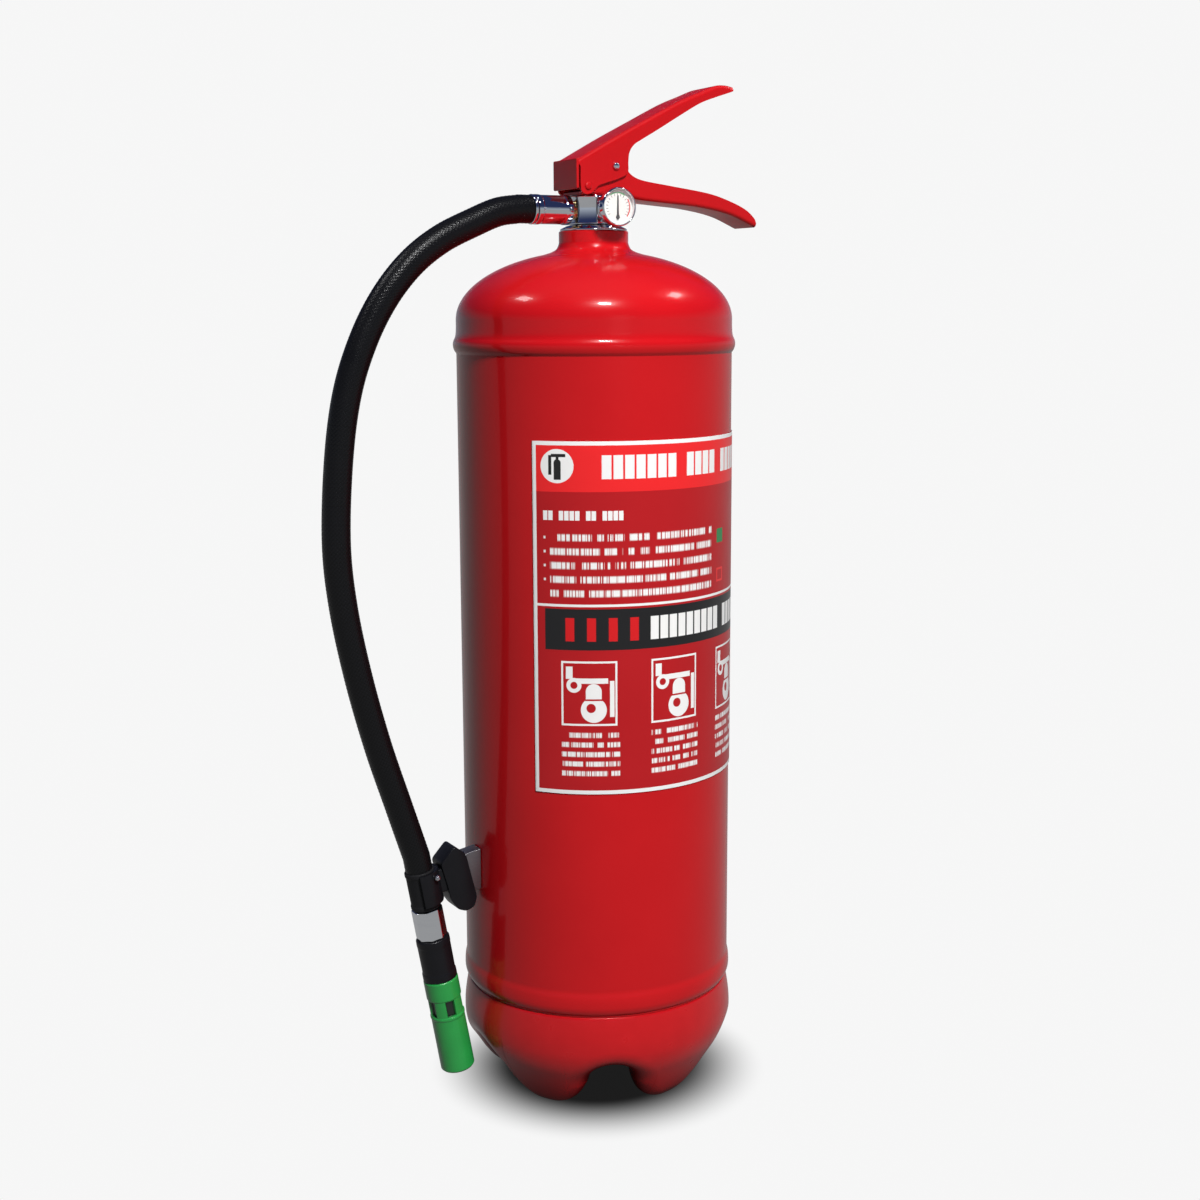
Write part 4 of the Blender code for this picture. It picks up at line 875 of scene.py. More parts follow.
def floor():
    """A wide glowing disc: dark under the boot as a painted contact shadow, it fades by a smooth step into the
    room's white just past it.
    """
    points, faces = turned([(radius, 0.0) for radius in (0.0, 0.3, 0.8, 2.0, 8.0, 40.0)])
    mesh = bpy.data.meshes.new("floor")
    mesh.from_pydata(points.tolist(), [], faces)
    obj = bpy.data.objects.new("floor", mesh)
    made, tree, _ = new_finish("floor")
    far = tree.nodes.new("ShaderNodeVectorMath")
    far.operation = "LENGTH"
    tree.links.new(place_of(tree), far.inputs[0])
    # Painted contact shadow: dark near the axis, fading to the room's white by a smooth step
    near = spread(tree, far.outputs["Value"], 0.052, 0.106)
    near.node.interpolation_type = "SMOOTHSTEP"
    path = tree.nodes.new("ShaderNodeLightPath")
    # The floor also glows onto the parts, dimly as light and brighter in reflections
    strength = spread(tree, path.outputs["Is Glossy Ray"], 0.0, 1.0, 0.07, 0.40)
    glow = tree.nodes.new("ShaderNodeEmission")
    tree.links.new(blend_colours(tree, near, (0.012, 0.012, 0.012), ROOM_WHITE), glow.inputs["Color"])
    tree.links.new(calc(tree, "MAXIMUM", strength, path.outputs["Is Camera Ray"]), glow.inputs["Strength"])
    tree.links.new(glow.outputs[0], tree.nodes["Material Output"].inputs["Surface"])
    mesh.materials.append(made)
    bpy.context.scene.collection.objects.link(obj)
    obj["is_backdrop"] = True


def studio():
    """Soft light from the front and above, a weaker one behind, and three glints for paint and chrome."""
    bpy.context.scene.view_settings.view_transform = "Standard"
    surroundings()
    floor()
    softbox("key", -4, 2.4, 2.2, (0.50, 0.50), 114.0)
    softbox("low_front", -8, 0.8, 2.0, (0.50, 0.50), 6.0)
    softbox("overhead", 0, 2.0, 0.05, (1.4, 1.4), 9.0)
    softbox("rear", 165, 1.1, 1.6, (1.0, 1.0), 16.0)
    softbox("glint", -18, 1.85, 1.20, (0.26, 0.13), 24.0, glint=True)
    softbox("left_glint", -112, 2.0, 1.30, (0.40, 0.26), 6.0, glint=True)
    softbox("right_glint", 74, 2.0, 1.40, (0.40, 0.26), 6.0, glint=True)


# Hose


def hose_line(count):
    """The hose's middle line: a straight point at each end and a smooth curve through the ones between."""
    route = np.asarray(HOSE_ROUTE)
    line = np.concatenate([route[:1], through(route[1:-1], count), route[-1:]])
    return np.stack([line[:, 0], np.zeros(len(line)), line[:, 1]], axis=-1)


def evenly(line, count):
    """A line again, with this many points at even distances along it, and its length."""
    steps = np.linalg.norm(np.diff(line, axis=0), axis=1)
    along = np.r_[0.0, np.cumsum(steps)]
    wanted = np.linspace(0, along[-1], count)
    return np.stack([np.interp(wanted, along, line[:, axis]) for axis in range(3)], axis=-1), along[-1]


def hose():
    """A braided tube.

    A strand's height is the root of |cos(u + v) cos(u - v)|, where u counts braid cells round the hose and v
    counts them along it, and the radius dips by BRAID_DEPTH where the strands leave a gap.
    """
    line, length = evenly(hose_line(900), HOSE_ROWS)
    middle = np.gradient(line, axis=0)
    middle /= np.linalg.norm(middle, axis=1, keepdims=True)
    side = np.array([0.0, 1.0, 0.0])
    out = np.cross(side, middle)
    angle = np.linspace(0, math.tau, 4 * BRAID_CELLS, endpoint=False)
    cell = math.tau * HOSE_RADIUS / BRAID_CELLS
    u = np.pi * BRAID_CELLS * angle[None] / math.tau
    v = np.pi * np.linspace(0, length, len(line))[:, None] / cell
    strand = np.sqrt(np.abs(np.cos(u + v) * np.cos(u - v)))
    radius = (HOSE_RADIUS - BRAID_DEPTH * (1 - strand))[..., None]
    ring_way = np.cos(angle)[None, :, None] * out[:, None] + np.sin(angle)[None, :, None] * side
    shape = surface(line[:, None] + radius * ring_way, capped=True)
    made = piece("woven_hose", shape, "braid", "root", ["hose"], 80, ("strand", strand))


# Tank


def tank_tube():
    """The straight wall with a full round bead rolled in above the boot."""
    bead = through(
        [
            (TANK_RADIUS, TUBE_LOW + 0.0180),
            (TANK_RADIUS + 0.0001, TUBE_LOW + 0.0150),
            (TANK_RADIUS + 0.0008, TUBE_LOW + 0.0115),
            (TANK_RADIUS + LOWER_BEAD_PROUD, TUBE_LOW + 0.0078),
            (TANK_RADIUS + 0.0009, TUBE_LOW + 0.0045),
            (TANK_RADIUS - 0.0004, TUBE_LOW + 0.0016),
            (TANK_RADIUS - 0.0030, TUBE_LOW),
        ],
        48,
    )
    inner = TANK_RADIUS - TANK_WALL
    wall = np.stack([np.full(24, TANK_RADIUS), np.linspace(TUBE_HIGH, bead[0, 1], 24)], axis=-1)
    profile = np.concatenate([wall, bead, [(inner, bead[-1, 1]), (inner, TUBE_HIGH)]])
    shape = turned(profile, steps=SHELL_STEPS, closed=True)
    piece("tank_wall", shape, "tank_paint", "root", ["shell_tube"], 50)


def tank_dome():
    """A bead at the foot, a short straight skirt, an elliptic crown and a hollow up to the neck."""
    low = DOME_LOW
    base = low + GAP + DOME_SKIRT
    bead = through(
        [
            (TANK_RADIUS - 0.0004, low - 0.0022),
            (TANK_RADIUS + 0.0003, low - 0.0012),
            (TANK_RADIUS + 0.0013, low + 0.0004),
            (TANK_RADIUS + SHOULDER_BEAD_PROUD, low + 0.0028),
            (TANK_RADIUS + 0.0017, low + 0.0052),
            (TANK_RADIUS + 0.0007, low + 0.0076),
            (TANK_RADIUS + 0.0002, low + 0.0100),
            (TANK_RADIUS, base - 0.0035),
        ],
        52,
    )
    turn = np.linspace(0, math.acos(CROWN_END / TANK_RADIUS), 52)
    crown = np.stack([TANK_RADIUS * np.cos(turn), base + CROWN_RISE * np.sin(turn)], axis=-1)
    hole = NECK_RADIUS - 0.0001
    last = crown[-1, 1]
    sweep = [(0.0246, last + 0.0014), (0.0216, last + 0.0031), (0.0203, last + 0.0056), (hole, last + 0.0072)]
    hollow = through([crown[-1], *sweep], 24)[1:]
    inner = TANK_RADIUS - TANK_WALL
    turn = np.linspace(math.acos(hole / inner), 0, 16)
    inside = np.stack([inner * np.cos(turn), base - TANK_WALL + CROWN_RISE * np.sin(turn)], axis=-1)
    profile = np.concatenate([bead, crown, hollow, hollow[-1:], inside, [(inner, bead[0, 1])]])
    shape = turned(profile, steps=SHELL_STEPS, closed=True)
    piece("tank_dome", shape, "tank_paint", "root", ["shell_dome"], 50)


def tank_neck():
    """A short turned ring."""
    bore = 0.0122
    corners = [(NECK_RADIUS, NECK_HIGH), (NECK_RADIUS, NECK_LOW), (bore, NECK_LOW), (bore, NECK_HIGH)]
    shape = ring(corners, steps=128, reach=0.0006)
    piece("tank_neck", shape, "tank_paint", "root", ["neck_boss"], 40)


def boot_profile(count):
    """The boot's side from its lip, out over the bulge, in over the turn, down to the foot and up inside it."""
    knots = [
        (0.0780, BOOT_TOP), (0.0793, BOOT_TOP - 0.0012), (0.0809, 0.0530), (BOOT_RADIUS, 0.0450),
        (0.0812, 0.0375), (0.0790, 0.0300), (0.0745, 0.0215), (0.0692, 0.0122), (0.0645, 0.0052),
        (0.0600, 0.0010), (0.0550, 0.0), (0.0505, 0.0012), (0.0475, 0.0045), (0.0462, 0.0090),
    ]
    return through(knots, count)


def boot():
    """A cup that stands on five rounded lobes.

    A side profile is turned, and it stops where it meets one of five arches. A point's distance from the
    nearest arch is hypot(sideways, height above the arch's spring) less the arch's half width, which grows
    below the spring. Within LOBE_ROLL of the arch the skin sinks along its own normal, by a quarter circle,
    and a painted shade grows on it there; the whole inner skin carries painted shade too.
    """
    rows, columns, samples = 110, 900, 700
    angle = np.linspace(0, math.tau, columns, endpoint=False)
    pitch = math.tau / LOBES
    from_arch = (angle - LOBE_TURN + math.pi / 2) % pitch - pitch / 2
    spring = ARCH_TOP - ARCH_HALF

    def arch_distance(radius, height):
        sideways = np.abs(radius * np.sin(from_arch))
        half = ARCH_HALF + ARCH_FLARE * np.clip((spring - height) / spring, 0, 1)
        return np.hypot(sideways, np.maximum(height - spring, 0.0)) - half

    fine = boot_profile(samples)
    clear = arch_distance(fine[:, :1], fine[:, 1:]) > 0.0
    last = np.where(clear.all(0), samples - 1, np.argmin(clear, axis=0)) / (samples - 1)
    share = np.linspace(0, 1, rows)[:, None] * last[None]
    steps = np.linspace(0, 1, samples)
    radius, height = (np.interp(share, steps, fine[:, axis]) for axis in range(2))
    slope = np.gradient(fine, axis=0)
    slope /= np.linalg.norm(slope, axis=1, keepdims=True)
    out, down = np.interp(share, steps, -slope[:, 1]), np.interp(share, steps, slope[:, 0])
    near = np.clip(1 - arch_distance(radius, height) / LOBE_ROLL, 0, 1)
    sink = LOBE_SINK * (1 - np.sqrt(np.maximum(1 - near**2, 0)))
    skins = [(radius - out * depth, height - down * depth) for depth in (sink, sink + BOOT_WALL)]
    away = np.concatenate([skins[0][0], np.minimum(skins[1][0], BOOT_INSIDE)[::-1]])
    z = np.concatenate([skins[0][1], skins[1][1][::-1]])
    points = np.stack([away * np.cos(angle), away * np.sin(angle), z], axis=-1)
    # Painted shade: the outer skin darkens where it sinks in beside the arches, and the whole inner skin is
    # dark
    shade = np.clip((near - SHADE_FROM) * SHADE_RATE, 0, 1) * (height < ARCH_TOP + 0.006)
    inside = np.concatenate([shade, np.ones_like(radius)])
    shape = surface(points, wrap_rows=True)
    piece("lobed_boot", shape, "boot_plastic", "root", ["base_boot"], 60, ("inside", inside))


def label():
    """A thin curved film. Each point keeps its place on the film in millimetres, across and up."""
    size = (24, 160)
    turn = np.linspace(LABEL_START, LABEL_END, size[1])
    up = np.linspace(LABEL_LOW, LABEL_HIGH, size[0])[:, None]
    radius = LABEL_RADIUS + FILM
    lines = (radius * np.sin(turn), -radius * np.cos(turn), up)
    points = np.stack([np.broadcast_to(line, size) for line in lines], axis=-1)
    points, faces = surface(points, wrap_columns=False)
    mesh = bpy.data.meshes.new("label_film")
    mesh.from_pydata(points.tolist(), [], faces)
    across = (turn - LABEL_START) * LABEL_RADIUS
    for name, metres in (("across_mm", across), ("up_mm", up - LABEL_LOW)):
        mark = mesh.attributes.new(name, "FLOAT", "POINT")
        mark.data.foreach_set("value", np.broadcast_to(metres * 1000, size).astype(np.float32).ravel())
    mesh.shade_smooth()
    obj = bpy.data.objects.new("label_film", mesh)
    settle(obj, "label", "root", ["instruction_label"])
    film = obj.modifiers.new("film", "SOLIDIFY")
    film.thickness = FILM
    film.offset = -1.0
    obj.modifiers.new("flat_edges", "WEIGHTED_NORMAL")


# Valve


def octagon(flats, reach):
    """A regular octagon, this wide across its flats, with softened corners."""
    corner = flats / 2 / math.cos(math.pi / 8)
    turn = math.pi / 8 + math.tau * np.arange(8) / 8
    return softened(np.stack([corner * np.cos(turn), corner * np.sin(turn)], axis=-1), reach, 5)


def valve_block():
    """An octagonal block with a slight waist: its width dips by a sine between its two bevelled ends."""
    bevel = 0.0006
    share = np.linspace(0, 1, 24)
    height = VALVE_LOW + (VALVE_HIGH - VALVE_LOW) * share
    height[[0, -1]] += (bevel, -bevel)
    width = 1 - WAIST * np.sin(math.pi * share)
    ends = ((0.0, 0.955), (bevel * 0.3, 0.988))
    first = [(VALVE_LOW + inward, factor) for inward, factor in ends]
    last = [(VALVE_HIGH - inward, factor) for inward, factor in reversed(ends)]
    shape = prism(octagon(VALVE_FLATS, 0.0012), [*first, *zip(height, width), *last])
    piece("valve_block", shape, "chrome", "root", ["valve_body"], 40)


def valve_foot():
    """The flared collar that the valve block stands on, with its spigot in the neck."""
    shoulder = VALVE_FLATS / 2 + GAP
    skirt, spigot = 0.0193, 0.0118
    profile = [
        (shoulder, COLLAR_TOP), (shoulder + 0.0012, COLLAR_TOP - 0.0003), (skirt - 0.0003, COLLAR_Z + 0.0011),
        (skirt, COLLAR_Z + 0.0007), (skirt, COLLAR_Z), (spigot, COLLAR_Z), (spigot, COLLAR_Z - 0.0190),
    ]
    shape = bar(profile, steps=128, reach=0.0003)
    piece("valve_foot", shape, "chrome", "root", ["valve_collar"], 40)


def outlet(distance):
    """A frame on the outlet's axis, this far from the tank's axis, with +Z towards the hose."""
    return aim((-distance, 0, PORT_Z), (-1, 0, 0))


def hose_outlet():
    """The bright ferrule and the plated ring that crimps the hose's end."""
    wide, bore = FERRULE_RADIUS, 0.0053
    slim, end = wide - 0.0003, FERRULE_LENGTH
    profile = [
        (wide - 0.0014, end), (wide, end - 0.0004), (wide, end - 0.0030), (slim, end - 0.0036), (slim, 0.0040),
        (wide, 0.0034), (wide, 0.0), (bore, 0.0), (bore, end),
    ]
    shape = ring(profile, outlet(FERRULE_START))
    piece("outlet_ferrule", shape, "chrome", "root", ["hose_ferrule"], 40)
    bore = 0.0052
    profile = [(wide, CRIMP_LENGTH), (wide, 0.0), (bore, 0.0), (bore, CRIMP_LENGTH)]
    shape = ring(profile, outlet(FERRULE_START + FERRULE_LENGTH + GAP), reach=0.0008)
    piece("outlet_ring", shape, "chrome", "root", ["hose_collar"], 50)


# Handles


def paired(knots, ridge_knots, count):
    """Ridge and rim lines that share one parameter: knots holds (rim x, rim height, ridge x)."""
    line = through(knots, count)
    curve = through(ridge_knots, 300)
    ridge = np.stack([line[:, 2], np.interp(line[:, 2], curve[:, 0], curve[:, 1])], axis=-1)
    lift = np.array([0.0, HANDLE_Z])
    return ridge + lift, line[:, :2] + lift


# Heights are above the valve block
LEVER_RIDGE = [
    (-0.0180, 0.0186), (0.0070, 0.0322), (0.0285, 0.0432), (0.0500, 0.0540), (0.0630, 0.0593),
    (0.0740, 0.0636), (0.0810, 0.0644), (0.0865, 0.0636),
]
LEVER_RIM = [
    (-0.0158, 0.0150, -0.0158), (-0.0157, 0.0045, -0.0150), (-0.0146, 0.0012, -0.0138),
    (-0.0108, 0.0000, -0.0110), (-0.0072, 0.0020, -0.0080), (-0.0040, 0.0050, -0.0045),
    (0.0015, 0.0068, 0.0005), (0.0085, 0.0090, 0.0065), (0.0136, 0.0113, 0.0110), (0.0152, 0.0140, 0.0128),
    (0.0152, 0.0185, 0.0143), (0.0160, 0.0240, 0.0165), (0.0190, 0.0282, 0.0200), (0.0246, 0.0316, 0.0250),
    (0.0344, 0.0370, 0.0340), (0.0492, 0.0455, 0.0480), (0.0631, 0.0531, 0.0622), (0.0742, 0.0572, 0.0738),
    (0.0830, 0.0600, 0.0825), (0.0862, 0.0612, 0.0863),
]
REAR_RIM = [(-0.0168, 0.0168, -0.0180), (-0.0158, 0.0150, -0.0158)]
HANDLE_RIDGE = [
    (-0.0138, 0.0), (0.0060, 0.0), (0.0150, 0.0), (0.0240, -0.0022), (0.0440, -0.0038), (0.0655, -0.0056),
    (0.0864, -0.0094), (0.1043, -0.0163),
]
HANDLE_RIM = [
    (-0.0138, 0.0096, -0.0138), (-0.0080, 0.0146, -0.0085), (0.0050, 0.0192, 0.0040),
    (0.0118, 0.0192, 0.0100), (0.0142, 0.0165, 0.0132), (0.0180, 0.0118, 0.0178), (0.0259, 0.0087, 0.0250),
    (0.0457, 0.0060, 0.0445), (0.0710, 0.0025, 0.0695), (0.0865, -0.0018, 0.0850),
    (0.0970, -0.0062, 0.0950), (0.1029, -0.0108, 0.1005), (0.1046, -0.0138, 0.1043),
]


def box_shape(low, high, reach):
    """A softened block between two corners, as an outline in x and z carried along y."""
    outline = softened([(low[0], low[2]), (high[0], low[2]), (high[0], high[2]), (low[0], high[2])], reach)
    place = Matrix.Translation((0, (low[1] + high[1]) / 2, 0))
    return plate(outline, (high[1] - low[1]) / 2, place, reach)


def pin_slot():
    """A (points, faces) cutter along the arc that the pin draws in the lever's far side."""
    arm = math.hypot(PIN.x - PIVOT.x, PIN.z - PIVOT.z)
    start = math.degrees(math.atan2(PIN.z - PIVOT.z, PIN.x - PIVOT.x))
    end = start + math.degrees(SQUEEZE)
    half = PIN_RADIUS + GAP
    centre = (PIVOT.x, PIVOT.z)
    first, last = arc(centre, arm, start, end, 2)
    outline = np.concatenate([
        arc(centre, arm + half, start, end, 10), arc(last, half, end, end + 180, 12)[1:-1],
        arc(centre, arm - half, end, start, 10), arc(first, half, start + 180, start + 360, 12)[1:-1],
    ])
    half_depth = 0.0040
    return plate(outline, half_depth, Matrix.Translation((0, LEVER_SIDE, 0)), 0.0001)


def cut_through(obj, shape):
    """Takes a closed (points, faces) shape out of a piece and leaves a plain mesh."""
    points, faces = shape
    mesh = bpy.data.meshes.new("cutter")
    mesh.from_pydata(points.tolist(), [], faces)
    cutter = bpy.data.objects.new("cutter", mesh)
    bpy.context.scene.collection.objects.link(cutter)
    change = obj.modifiers.new("cut", "BOOLEAN")
    change.solver = "EXACT"
    change.object = cutter
    graph = bpy.context.evaluated_depsgraph_get()
    fresh = bpy.data.meshes.new_from_object(obj.evaluated_get(graph))
    obj.modifiers.clear()
    obj.data = fresh
    bpy.data.objects.remove(cutter, do_unlink=True)


def squeeze_lever():
    """The top lever: a channel that opens downwards, with a full-width flange down its rear."""
    body = channel(*paired(LEVER_RIM, LEVER_RIDGE, 190), LEVER_SIDE, LEVER_BEND)
    rear = channel(*paired(REAR_RIM, LEVER_RIDGE, 4), LEVER_SIDE, LEVER_BEND)
    low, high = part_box("squeeze_lever")
    foot, top = HANDLE_Z + 0.0030, HANDLE_Z + 0.0196
    flange = box_shape((low.x, low.y, foot), (low.x + PLATE, high.y, top), 0.0006)
    shape = joined(body, flange, rear)
    lever = piece("squeeze_lever_part", shape, "handle_paint_and_shade", "lever", ["squeeze_lever"], 38)
    cut_through(lever, pin_slot())


def carry_handle():
    """The fixed handle: a channel that opens upwards, with its back under the hand."""
    shape = channel(*paired(HANDLE_RIM, HANDLE_RIDGE, 170), HANDLE_SIDE, HANDLE_BEND)
    piece("carry_handle_part", shape, "handle_paint_and_shade", "root", ["carry_handle"], 38)


def low_dome(radius, height, count):
    """A quarter ellipse from just off the axis out to the radius, as (radius, height) points."""
    return arc((0.0, 0.0), 1.0, 85, 0, count) * np.array([radius, height])


def rivet():
    """A shank with a low domed head on each side of the lever."""
    out, shank = LEVER_SIDE + GAP, 0.0018
    head = low_dome(0.0022, 0.0009, 8) + np.array([0.0, out])
    profile = np.concatenate([head, [(shank, out), (shank, -out)], (head * np.array([1, -1]))[::-1]])
    shape = bar(profile.tolist(), aim(PIVOT, (0, 1, 0)), 48, 0.0001)
    piece("pivot_rivet", shape, "handle_paint_and_shade", "root", ["lever_pivot"], 40)


def stud():
    """A domed head on a short shank through the lever's side."""
    shank = 0.0013
    head = low_dome(0.0021, 0.0019, 10) + np.array([0.0, GAP])
    shape = bar([*head.tolist(), (shank, GAP), (shank, -PLATE)], aim(STUD, (0, -1, 0)), 48, 0.0001)
    piece("bright_stud", shape, "chrome", "lever", ["seal_stud"], 40)


def pull_ring():
    """A wire ring: a small circle turned about the ring's middle."""
    low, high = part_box("pull_ring")
    centre = (low + high) / 2
    wire = (high.y - low.y) / 2
    profile = arc(((high.x - low.x) / 2 - wire, 0.0), wire, 0, 360, 17)[:-1]
    shape = turned(profile, aim(centre, (0, 1, 0)), 120, closed=True)
    piece("pull_ring_part", shape, "steel", "ring", ["pull_ring"], 60)


def pusher_cap():
    """A short round bar with a domed end."""
    low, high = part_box("stem_cap")
    radius = (high.x - low.x) / 2
    dome = arc((0.0, high.z - radius), radius, 88, 0, 14)
    shape = bar([*dome.tolist(), (radius, low.z)], steps=64)
    piece("pusher_cap", shape, "black_plastic", "plunger", ["stem_cap"], 50)


# Gauge


def gauge_place(forward):
    """A frame on the gauge's axis, this far in front of the tank's axis, with +Z out of the dial."""
    return aim((0, -forward, GAUGE_Z), (0, -1, 0))


def gauge_rim():
    """The rolled rim: a rounded outer edge, a flat lip and a step down to the glass."""
    step = 0.0096
    profile = [
        (BEZEL_RADIUS, 0.0), (BEZEL_RADIUS, RIM_DEPTH - 0.0006), (BEZEL_RADIUS - 0.0005, RIM_DEPTH),
        (step + 0.0003, RIM_DEPTH), (step, RIM_DEPTH - 0.0006), (step, RIM_DEPTH - 0.0030),
        (step + 0.0004, RIM_DEPTH - 0.0031), (step + 0.0008, 0.0),
    ]
    shape = ring(profile, gauge_place(GAUGE_FRONT - RIM_DEPTH), 144, 0.0004)
    piece("gauge_rim", shape, "chrome", "root", ["gauge_bezel"], 40)


def gauge_cup():
    """A shallow turned cup with a stem that screws into the valve."""
    inner, depth, floor_depth = GAUGE_RADIUS - 0.0004, 0.0053, 0.0022
    stem, stem_end = 0.0045, -0.0172
    profile = [
        (GAUGE_RADIUS, depth), (GAUGE_RADIUS, 0.0014), (GAUGE_RADIUS - 0.0014, 0.0), (stem + 0.0001, 0.0),
        (stem + 0.0001, -0.0010), (stem, stem_end), (0.0, stem_end), (0.0, floor_depth), (inner, floor_depth),
        (inner, depth),
    ]
    shape = turned(softened(profile, 0.0004), gauge_place(GAUGE_BACK), 120, closed=True)
    piece("gauge_cup", shape, "chrome", "root", ["gauge_case"], 40)


def gauge_glass():
    """A thin lens whose front swells by a shallow parabola."""
    share = np.linspace(0, 1, 12)
    front = np.stack([GLASS_RADIUS * share, 0.0004 + 0.0006 * (1 - share**2)], axis=-1)
    profile = np.concatenate([front, [(GLASS_RADIUS, 0.0), (0.0, 0.0)]])
    shape = turned(profile, gauge_place(GAUGE_FRONT - GLASS_BEHIND))
    piece("gauge_glass", shape, "glass", "root", ["gauge_lens"], 60)


def gauge_face():
    """A flat enamelled disc with a rounded rim, just behind the pointer."""
    shape = bar([(0.0097, 0.0004), (0.0097, 0.0)], gauge_place(GAUGE_FRONT - FACE_BEHIND), 96, 0.0002)
    piece("gauge_face", shape, "dial", "root", ["gauge_dial"], 50)


def gauge_pointer():
    """A slim tapered pointer above a diamond hub with a round boss."""
    low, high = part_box("gauge_needle")
    half, tip = POINTER_HALF, POINTER_HALF * 0.55
    outline = [
        (0.0, low.z), (high.x, HUB_Z), (half, HUB_Z + 0.0016), (tip, high.z), (-tip, high.z),
        (-half, HUB_Z + 0.0016), (low.x, HUB_Z),
    ]
    middle = POINTER_BEHIND - GAUGE_FRONT
    place = Matrix.Translation((0, middle, 0))
    blade = plate(softened(outline, 0.0002, 4), (high.y - low.y) / 2, place, 0.0001)
    boss = bar([(0.0009, 0.0004), (0.0009, 0.0)], aim((0, middle - 0.0002, HUB_Z), (0, -1, 0)), 32, 0.0002)
    shape = joined(blade, boss)
    piece("gauge_pointer", shape, "black_plastic", "needle", ["gauge_needle"], 40)


# Nozzle and clip


def along_nozzle(distance):
    """A frame on the nozzle's axis, this far past the end of the hose, with +Z towards the tip."""
    direction = Vector((math.sin(NOZZLE_LEAN), 0, -math.cos(NOZZLE_LEAN)))
    end = Vector((HOSE_ROUTE[-1][0], 0, HOSE_ROUTE[-1][1]))
    return Matrix.Translation(end + direction * distance) @ Matrix.Rotation(math.pi - NOZZLE_LEAN, 4, "Y")


def nozzle_sleeve():
    """A smooth crimped sleeve with a raised lip at each end."""
    wide, end = SLEEVE_RADIUS, SLEEVE_LENGTH
    slim = wide - 0.0004
    profile = [
        (wide - 0.0006, end), (wide, end - 0.0007), (wide, end - 0.0026), (slim, end - 0.0034), (slim, 0.0034),
        (wide, 0.0026), (wide, 0.0006), (wide - 0.0006, 0.0), (NOZZLE_BORE, 0.0), (NOZZLE_BORE, end),
    ]
    shape = ring(profile, along_nozzle(SLEEVE_START), reach=0.0004)
    piece("nozzle_sleeve_part", shape, "rubber", "root", ["nozzle_sleeve"], 50)


def nozzle_coupling():
    """An octagonal column whose two ends are rounded in."""
    ends = ((0.0, 0.93), (0.0003, 0.985), (0.0009, 1.0))
    levels = [*ends, *((COUPLING_LENGTH - height, factor) for height, factor in reversed(ends))]
    shape = prism(octagon(COUPLING_FLATS, 0.0009), levels, along_nozzle(COUPLING_START))
    piece("nozzle_coupling_part", shape, "chrome", "root", ["nozzle_coupling"], 30)


def nozzle_grip():
    """A black sleeve with a low collar at each end."""
    radius, end = GRIP_RADIUS, GRIP_LENGTH
    profile = [
        (radius + 0.0002, end), (radius + 0.0002, end - 0.0040), (radius - 0.0002, end - 0.0050),
        (radius - 0.0001, 0.0050), (radius + 0.0001, 0.0040), (radius, 0.0008), (radius - 0.0008, 0.0),
        (NOZZLE_BORE, 0.0), (NOZZLE_BORE, end),
    ]
    shape = ring(profile, along_nozzle(GRIP_START), reach=0.0004)
    piece("nozzle_grip_part", shape, "black_plastic", "root", ["nozzle_grip"], 50)


def tip_outline():
    """The tip's (radius, height) side from its blind end to its mouth, with the sunk band."""
    wide, end = TIP_RADIUS, TIP_LENGTH
    sunk, band_end = wide - 0.0004, BAND_START + BAND_LENGTH
    corners = [
        (wide - 0.0006, 0.0), (wide, 0.0006), (wide, BAND_START - 0.0003), (sunk, BAND_START), (sunk, band_end),
        (wide, band_end + 0.0004), (wide, band_end + 0.0016), (wide - 0.0003, band_end + 0.0022),
        (wide - 0.0002, end - 0.0010), (wide - 0.0010, end),
    ]
    return softened(corners, 0.0003, closed=False)


def nozzle_tip():
    """A green tube with a sunk band and five pockets in it for windows.

    A pocket's share of its full depth is the product of two short ramps, one on the distance round the tube
    from the window's middle and one on the height, and the radius drops by POCKET times that share. The same
    share paints shade into the pocket, and the bore is painted darker towards its bottom.
    """
    steps = 360
    outer = tip_outline()
    edge = np.linspace(-WINDOW_EDGE, WINDOW_EDGE, 5)
    low, high = BAND_START + WINDOW_INSET, BAND_START + BAND_LENGTH - WINDOW_INSET
    height = np.unique(np.concatenate([outer[:, 1], np.linspace(0, TIP_LENGTH, 60), low + edge, high + edge]))
    radius = np.interp(height, outer[:, 1], outer[:, 0])
    angle = np.linspace(0, math.tau, steps, endpoint=False)
    pitch = math.tau / WINDOWS
    beside = np.abs((angle - WINDOW_TURN + pitch / 2) % pitch - pitch / 2) * TIP_RADIUS
    across = np.clip((WINDOW_WIDTH / 2 - beside) / WINDOW_EDGE + 0.5, 0, 1)
    upright = np.clip(((high - low) / 2 - np.abs(height - (low + high) / 2)) / WINDOW_EDGE + 0.5, 0, 1)
    share = upright[:, None] * across[None]
    inner, bottom = TIP_RADIUS - TIP_WALL, TIP_LENGTH - BORE_DEPTH
    bore = np.broadcast_to([[inner], [inner], [0.0]], (3, steps))
    away = np.concatenate([np.zeros((1, steps)), radius[:, None] - POCKET * share, bore])
    z = np.concatenate([[0.0], height, [TIP_LENGTH, bottom, bottom]])[:, None]
    points = np.stack([away * np.cos(angle), away * np.sin(angle), np.broadcast_to(z, away.shape)], axis=-1)
    # Painted shade: the pockets darken with their depth share, and the bore darkens towards its bottom
    dark = np.concatenate([np.zeros((1, steps)), share, np.zeros((1, steps)), np.ones((2, steps))])
    shape = surface(placed(points, along_nozzle(TIP_START)))
    mark = ("pocket", dark)
    piece("nozzle_tip_part", shape, "green_plastic", "root", ["nozzle_tip"], 35, mark)


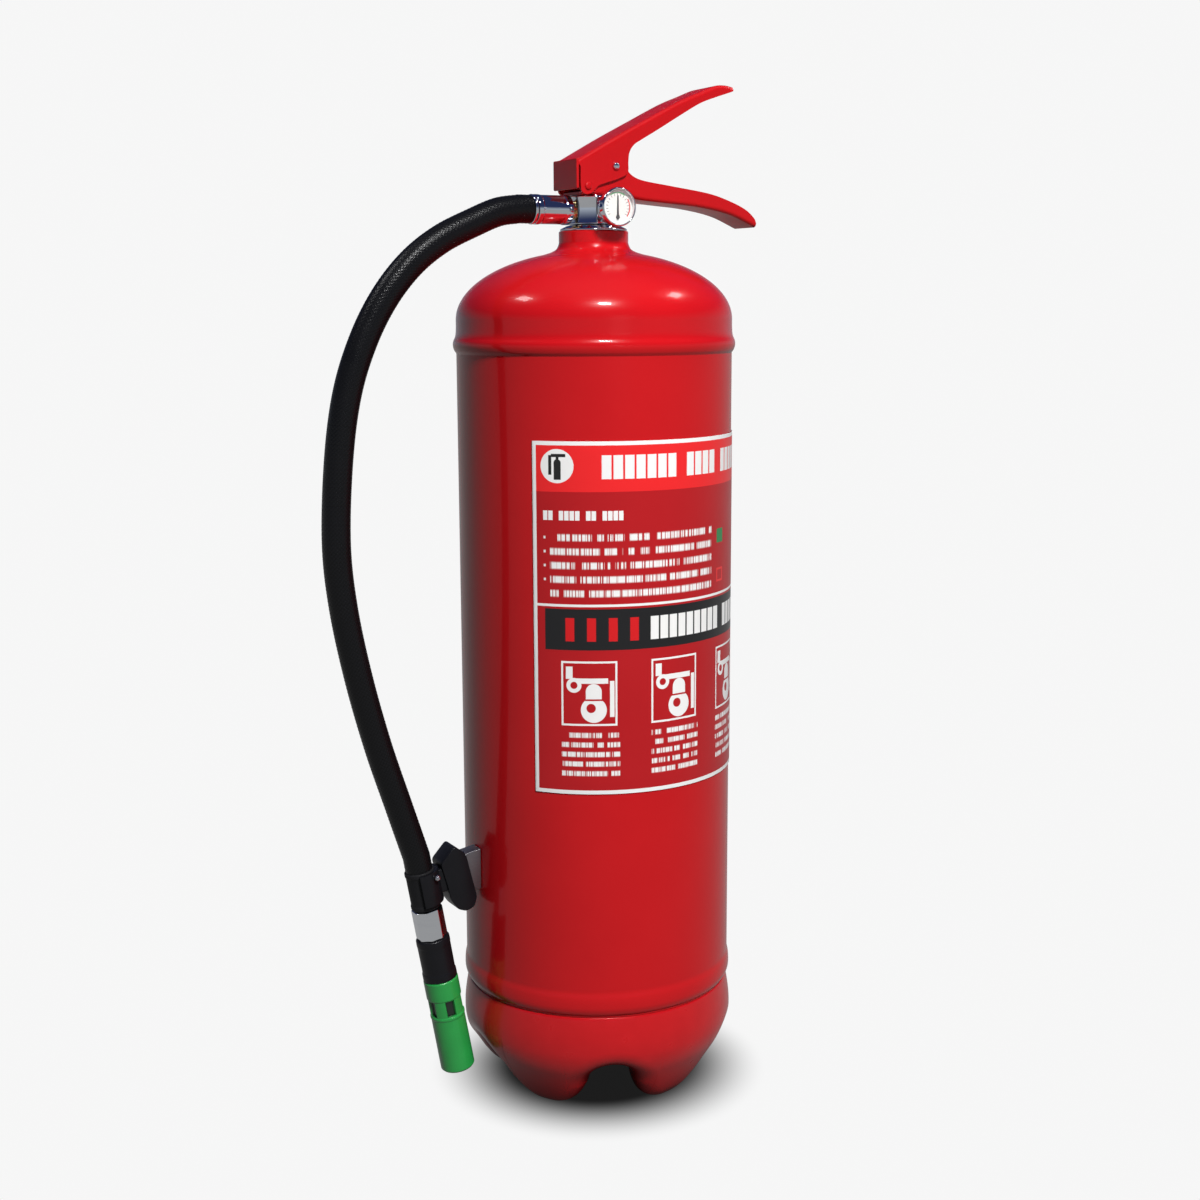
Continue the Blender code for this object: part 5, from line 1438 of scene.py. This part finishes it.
def clip():
    """A shield-shaped block beside the sleeve, and a C-shaped jaw round it on a short neck."""
    middle = along_nozzle(SLEEVE_START + SLEEVE_LENGTH * 0.45).translation
    shield = [
        (0.0090, 0.0135), (0.0180, 0.0232), (0.0250, 0.0175), (0.0318, -0.0095), (0.0304, -0.0152),
        (0.0252, -0.0176), (0.0195, -0.0155), (0.0150, -0.0090), (0.0130, 0.0000),
    ]
    block = plate(softened(shield, 0.0020, 5), 0.0072, Matrix.Translation(middle), 0.0009)
    grip, wall, half_mouth, half_height = SLEEVE_RADIUS + 0.0001, 0.0022, 112, 0.0098
    outside = arc((0, 0), grip + wall, -half_mouth, half_mouth, 40)
    open_c = np.concatenate([outside, arc((0, 0), grip, half_mouth, -half_mouth, 40)])
    full = half_height - 0.0006
    levels = [(-half_height, 0.985), (-full, 1.0), (full, 1.0), (half_height, 0.985)]
    turn = Matrix.Translation(middle) @ Matrix.Rotation(-NOZZLE_LEAN, 4, "Y")
    jaw = prism(softened(open_c, 0.0003, 3), levels, turn)
    neck, neck_faces = box_shape((0.0080, -0.0058, -0.0060), (0.0160, 0.0058, 0.0085), 0.0012)
    shape = joined(block, jaw, (placed(neck, turn), neck_faces))
    piece("hose_clip_part", shape, "black_plastic", "root", ["hose_clip"], 40)


def bracket():
    """The bracket node's own shape, welded, with its edges rounded."""
    name = "clip_bracket_part"
    mesh = bpy.data.objects["clip_bracket"].data.copy()
    mesh.name = name
    tidy = bmesh.new()
    tidy.from_mesh(mesh)
    bmesh.ops.remove_doubles(tidy, verts=tidy.verts, dist=0.00002)
    bmesh.ops.dissolve_limit(tidy, angle_limit=math.radians(1), verts=tidy.verts, edges=tidy.edges)
    tidy.to_mesh(mesh)
    tidy.free()
    mesh.shade_smooth()
    obj = settle(bpy.data.objects.new(name, mesh), "dull_steel", "root", ["clip_bracket"])
    edges = obj.modifiers.new("edges", "BEVEL")
    edges.width = 0.0005
    edges.segments = 3
    edges.limit_method = "ANGLE"
    edges.angle_limit = math.radians(30)
    edges.harden_normals = True


CARRIED = {
    # The tank's bottom takes the near-black painted shade
    "shell_bottom": "underside_painted_shade",
    "neck_o_ring": "rubber",
    "stem_seal": "rubber",
    "gland_nut": "brass",
    "siphon_tube": "steel",
    "stem_spring": "steel",
    "valve_stem": "steel",
    "safety_pin": "steel",
    "hose_adapter": "brass",
    "nozzle_core": "black_plastic",
    "clip_screw": "steel",
}


def carried_nodes():
    """The hidden and the small nodes keep their own shape and take these finishes."""
    for node, finish in CARRIED.items():
        materials = bpy.data.objects[node].data.materials
        materials.clear()
        materials.append(FINISH[finish])


camera()
studio()
nozzle_sleeve()
nozzle_coupling()
nozzle_grip()
nozzle_tip()
hose()
tank_tube()
tank_dome()
tank_neck()
boot()
label()
valve_block()
valve_foot()
hose_outlet()
squeeze_lever()
carry_handle()
rivet()
stud()
pull_ring()
pusher_cap()
gauge_rim()
gauge_cup()
gauge_glass()
gauge_face()
gauge_pointer()
clip()
bracket()
carried_nodes()

both = {"cad": CAD_BOX, "visual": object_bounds()}
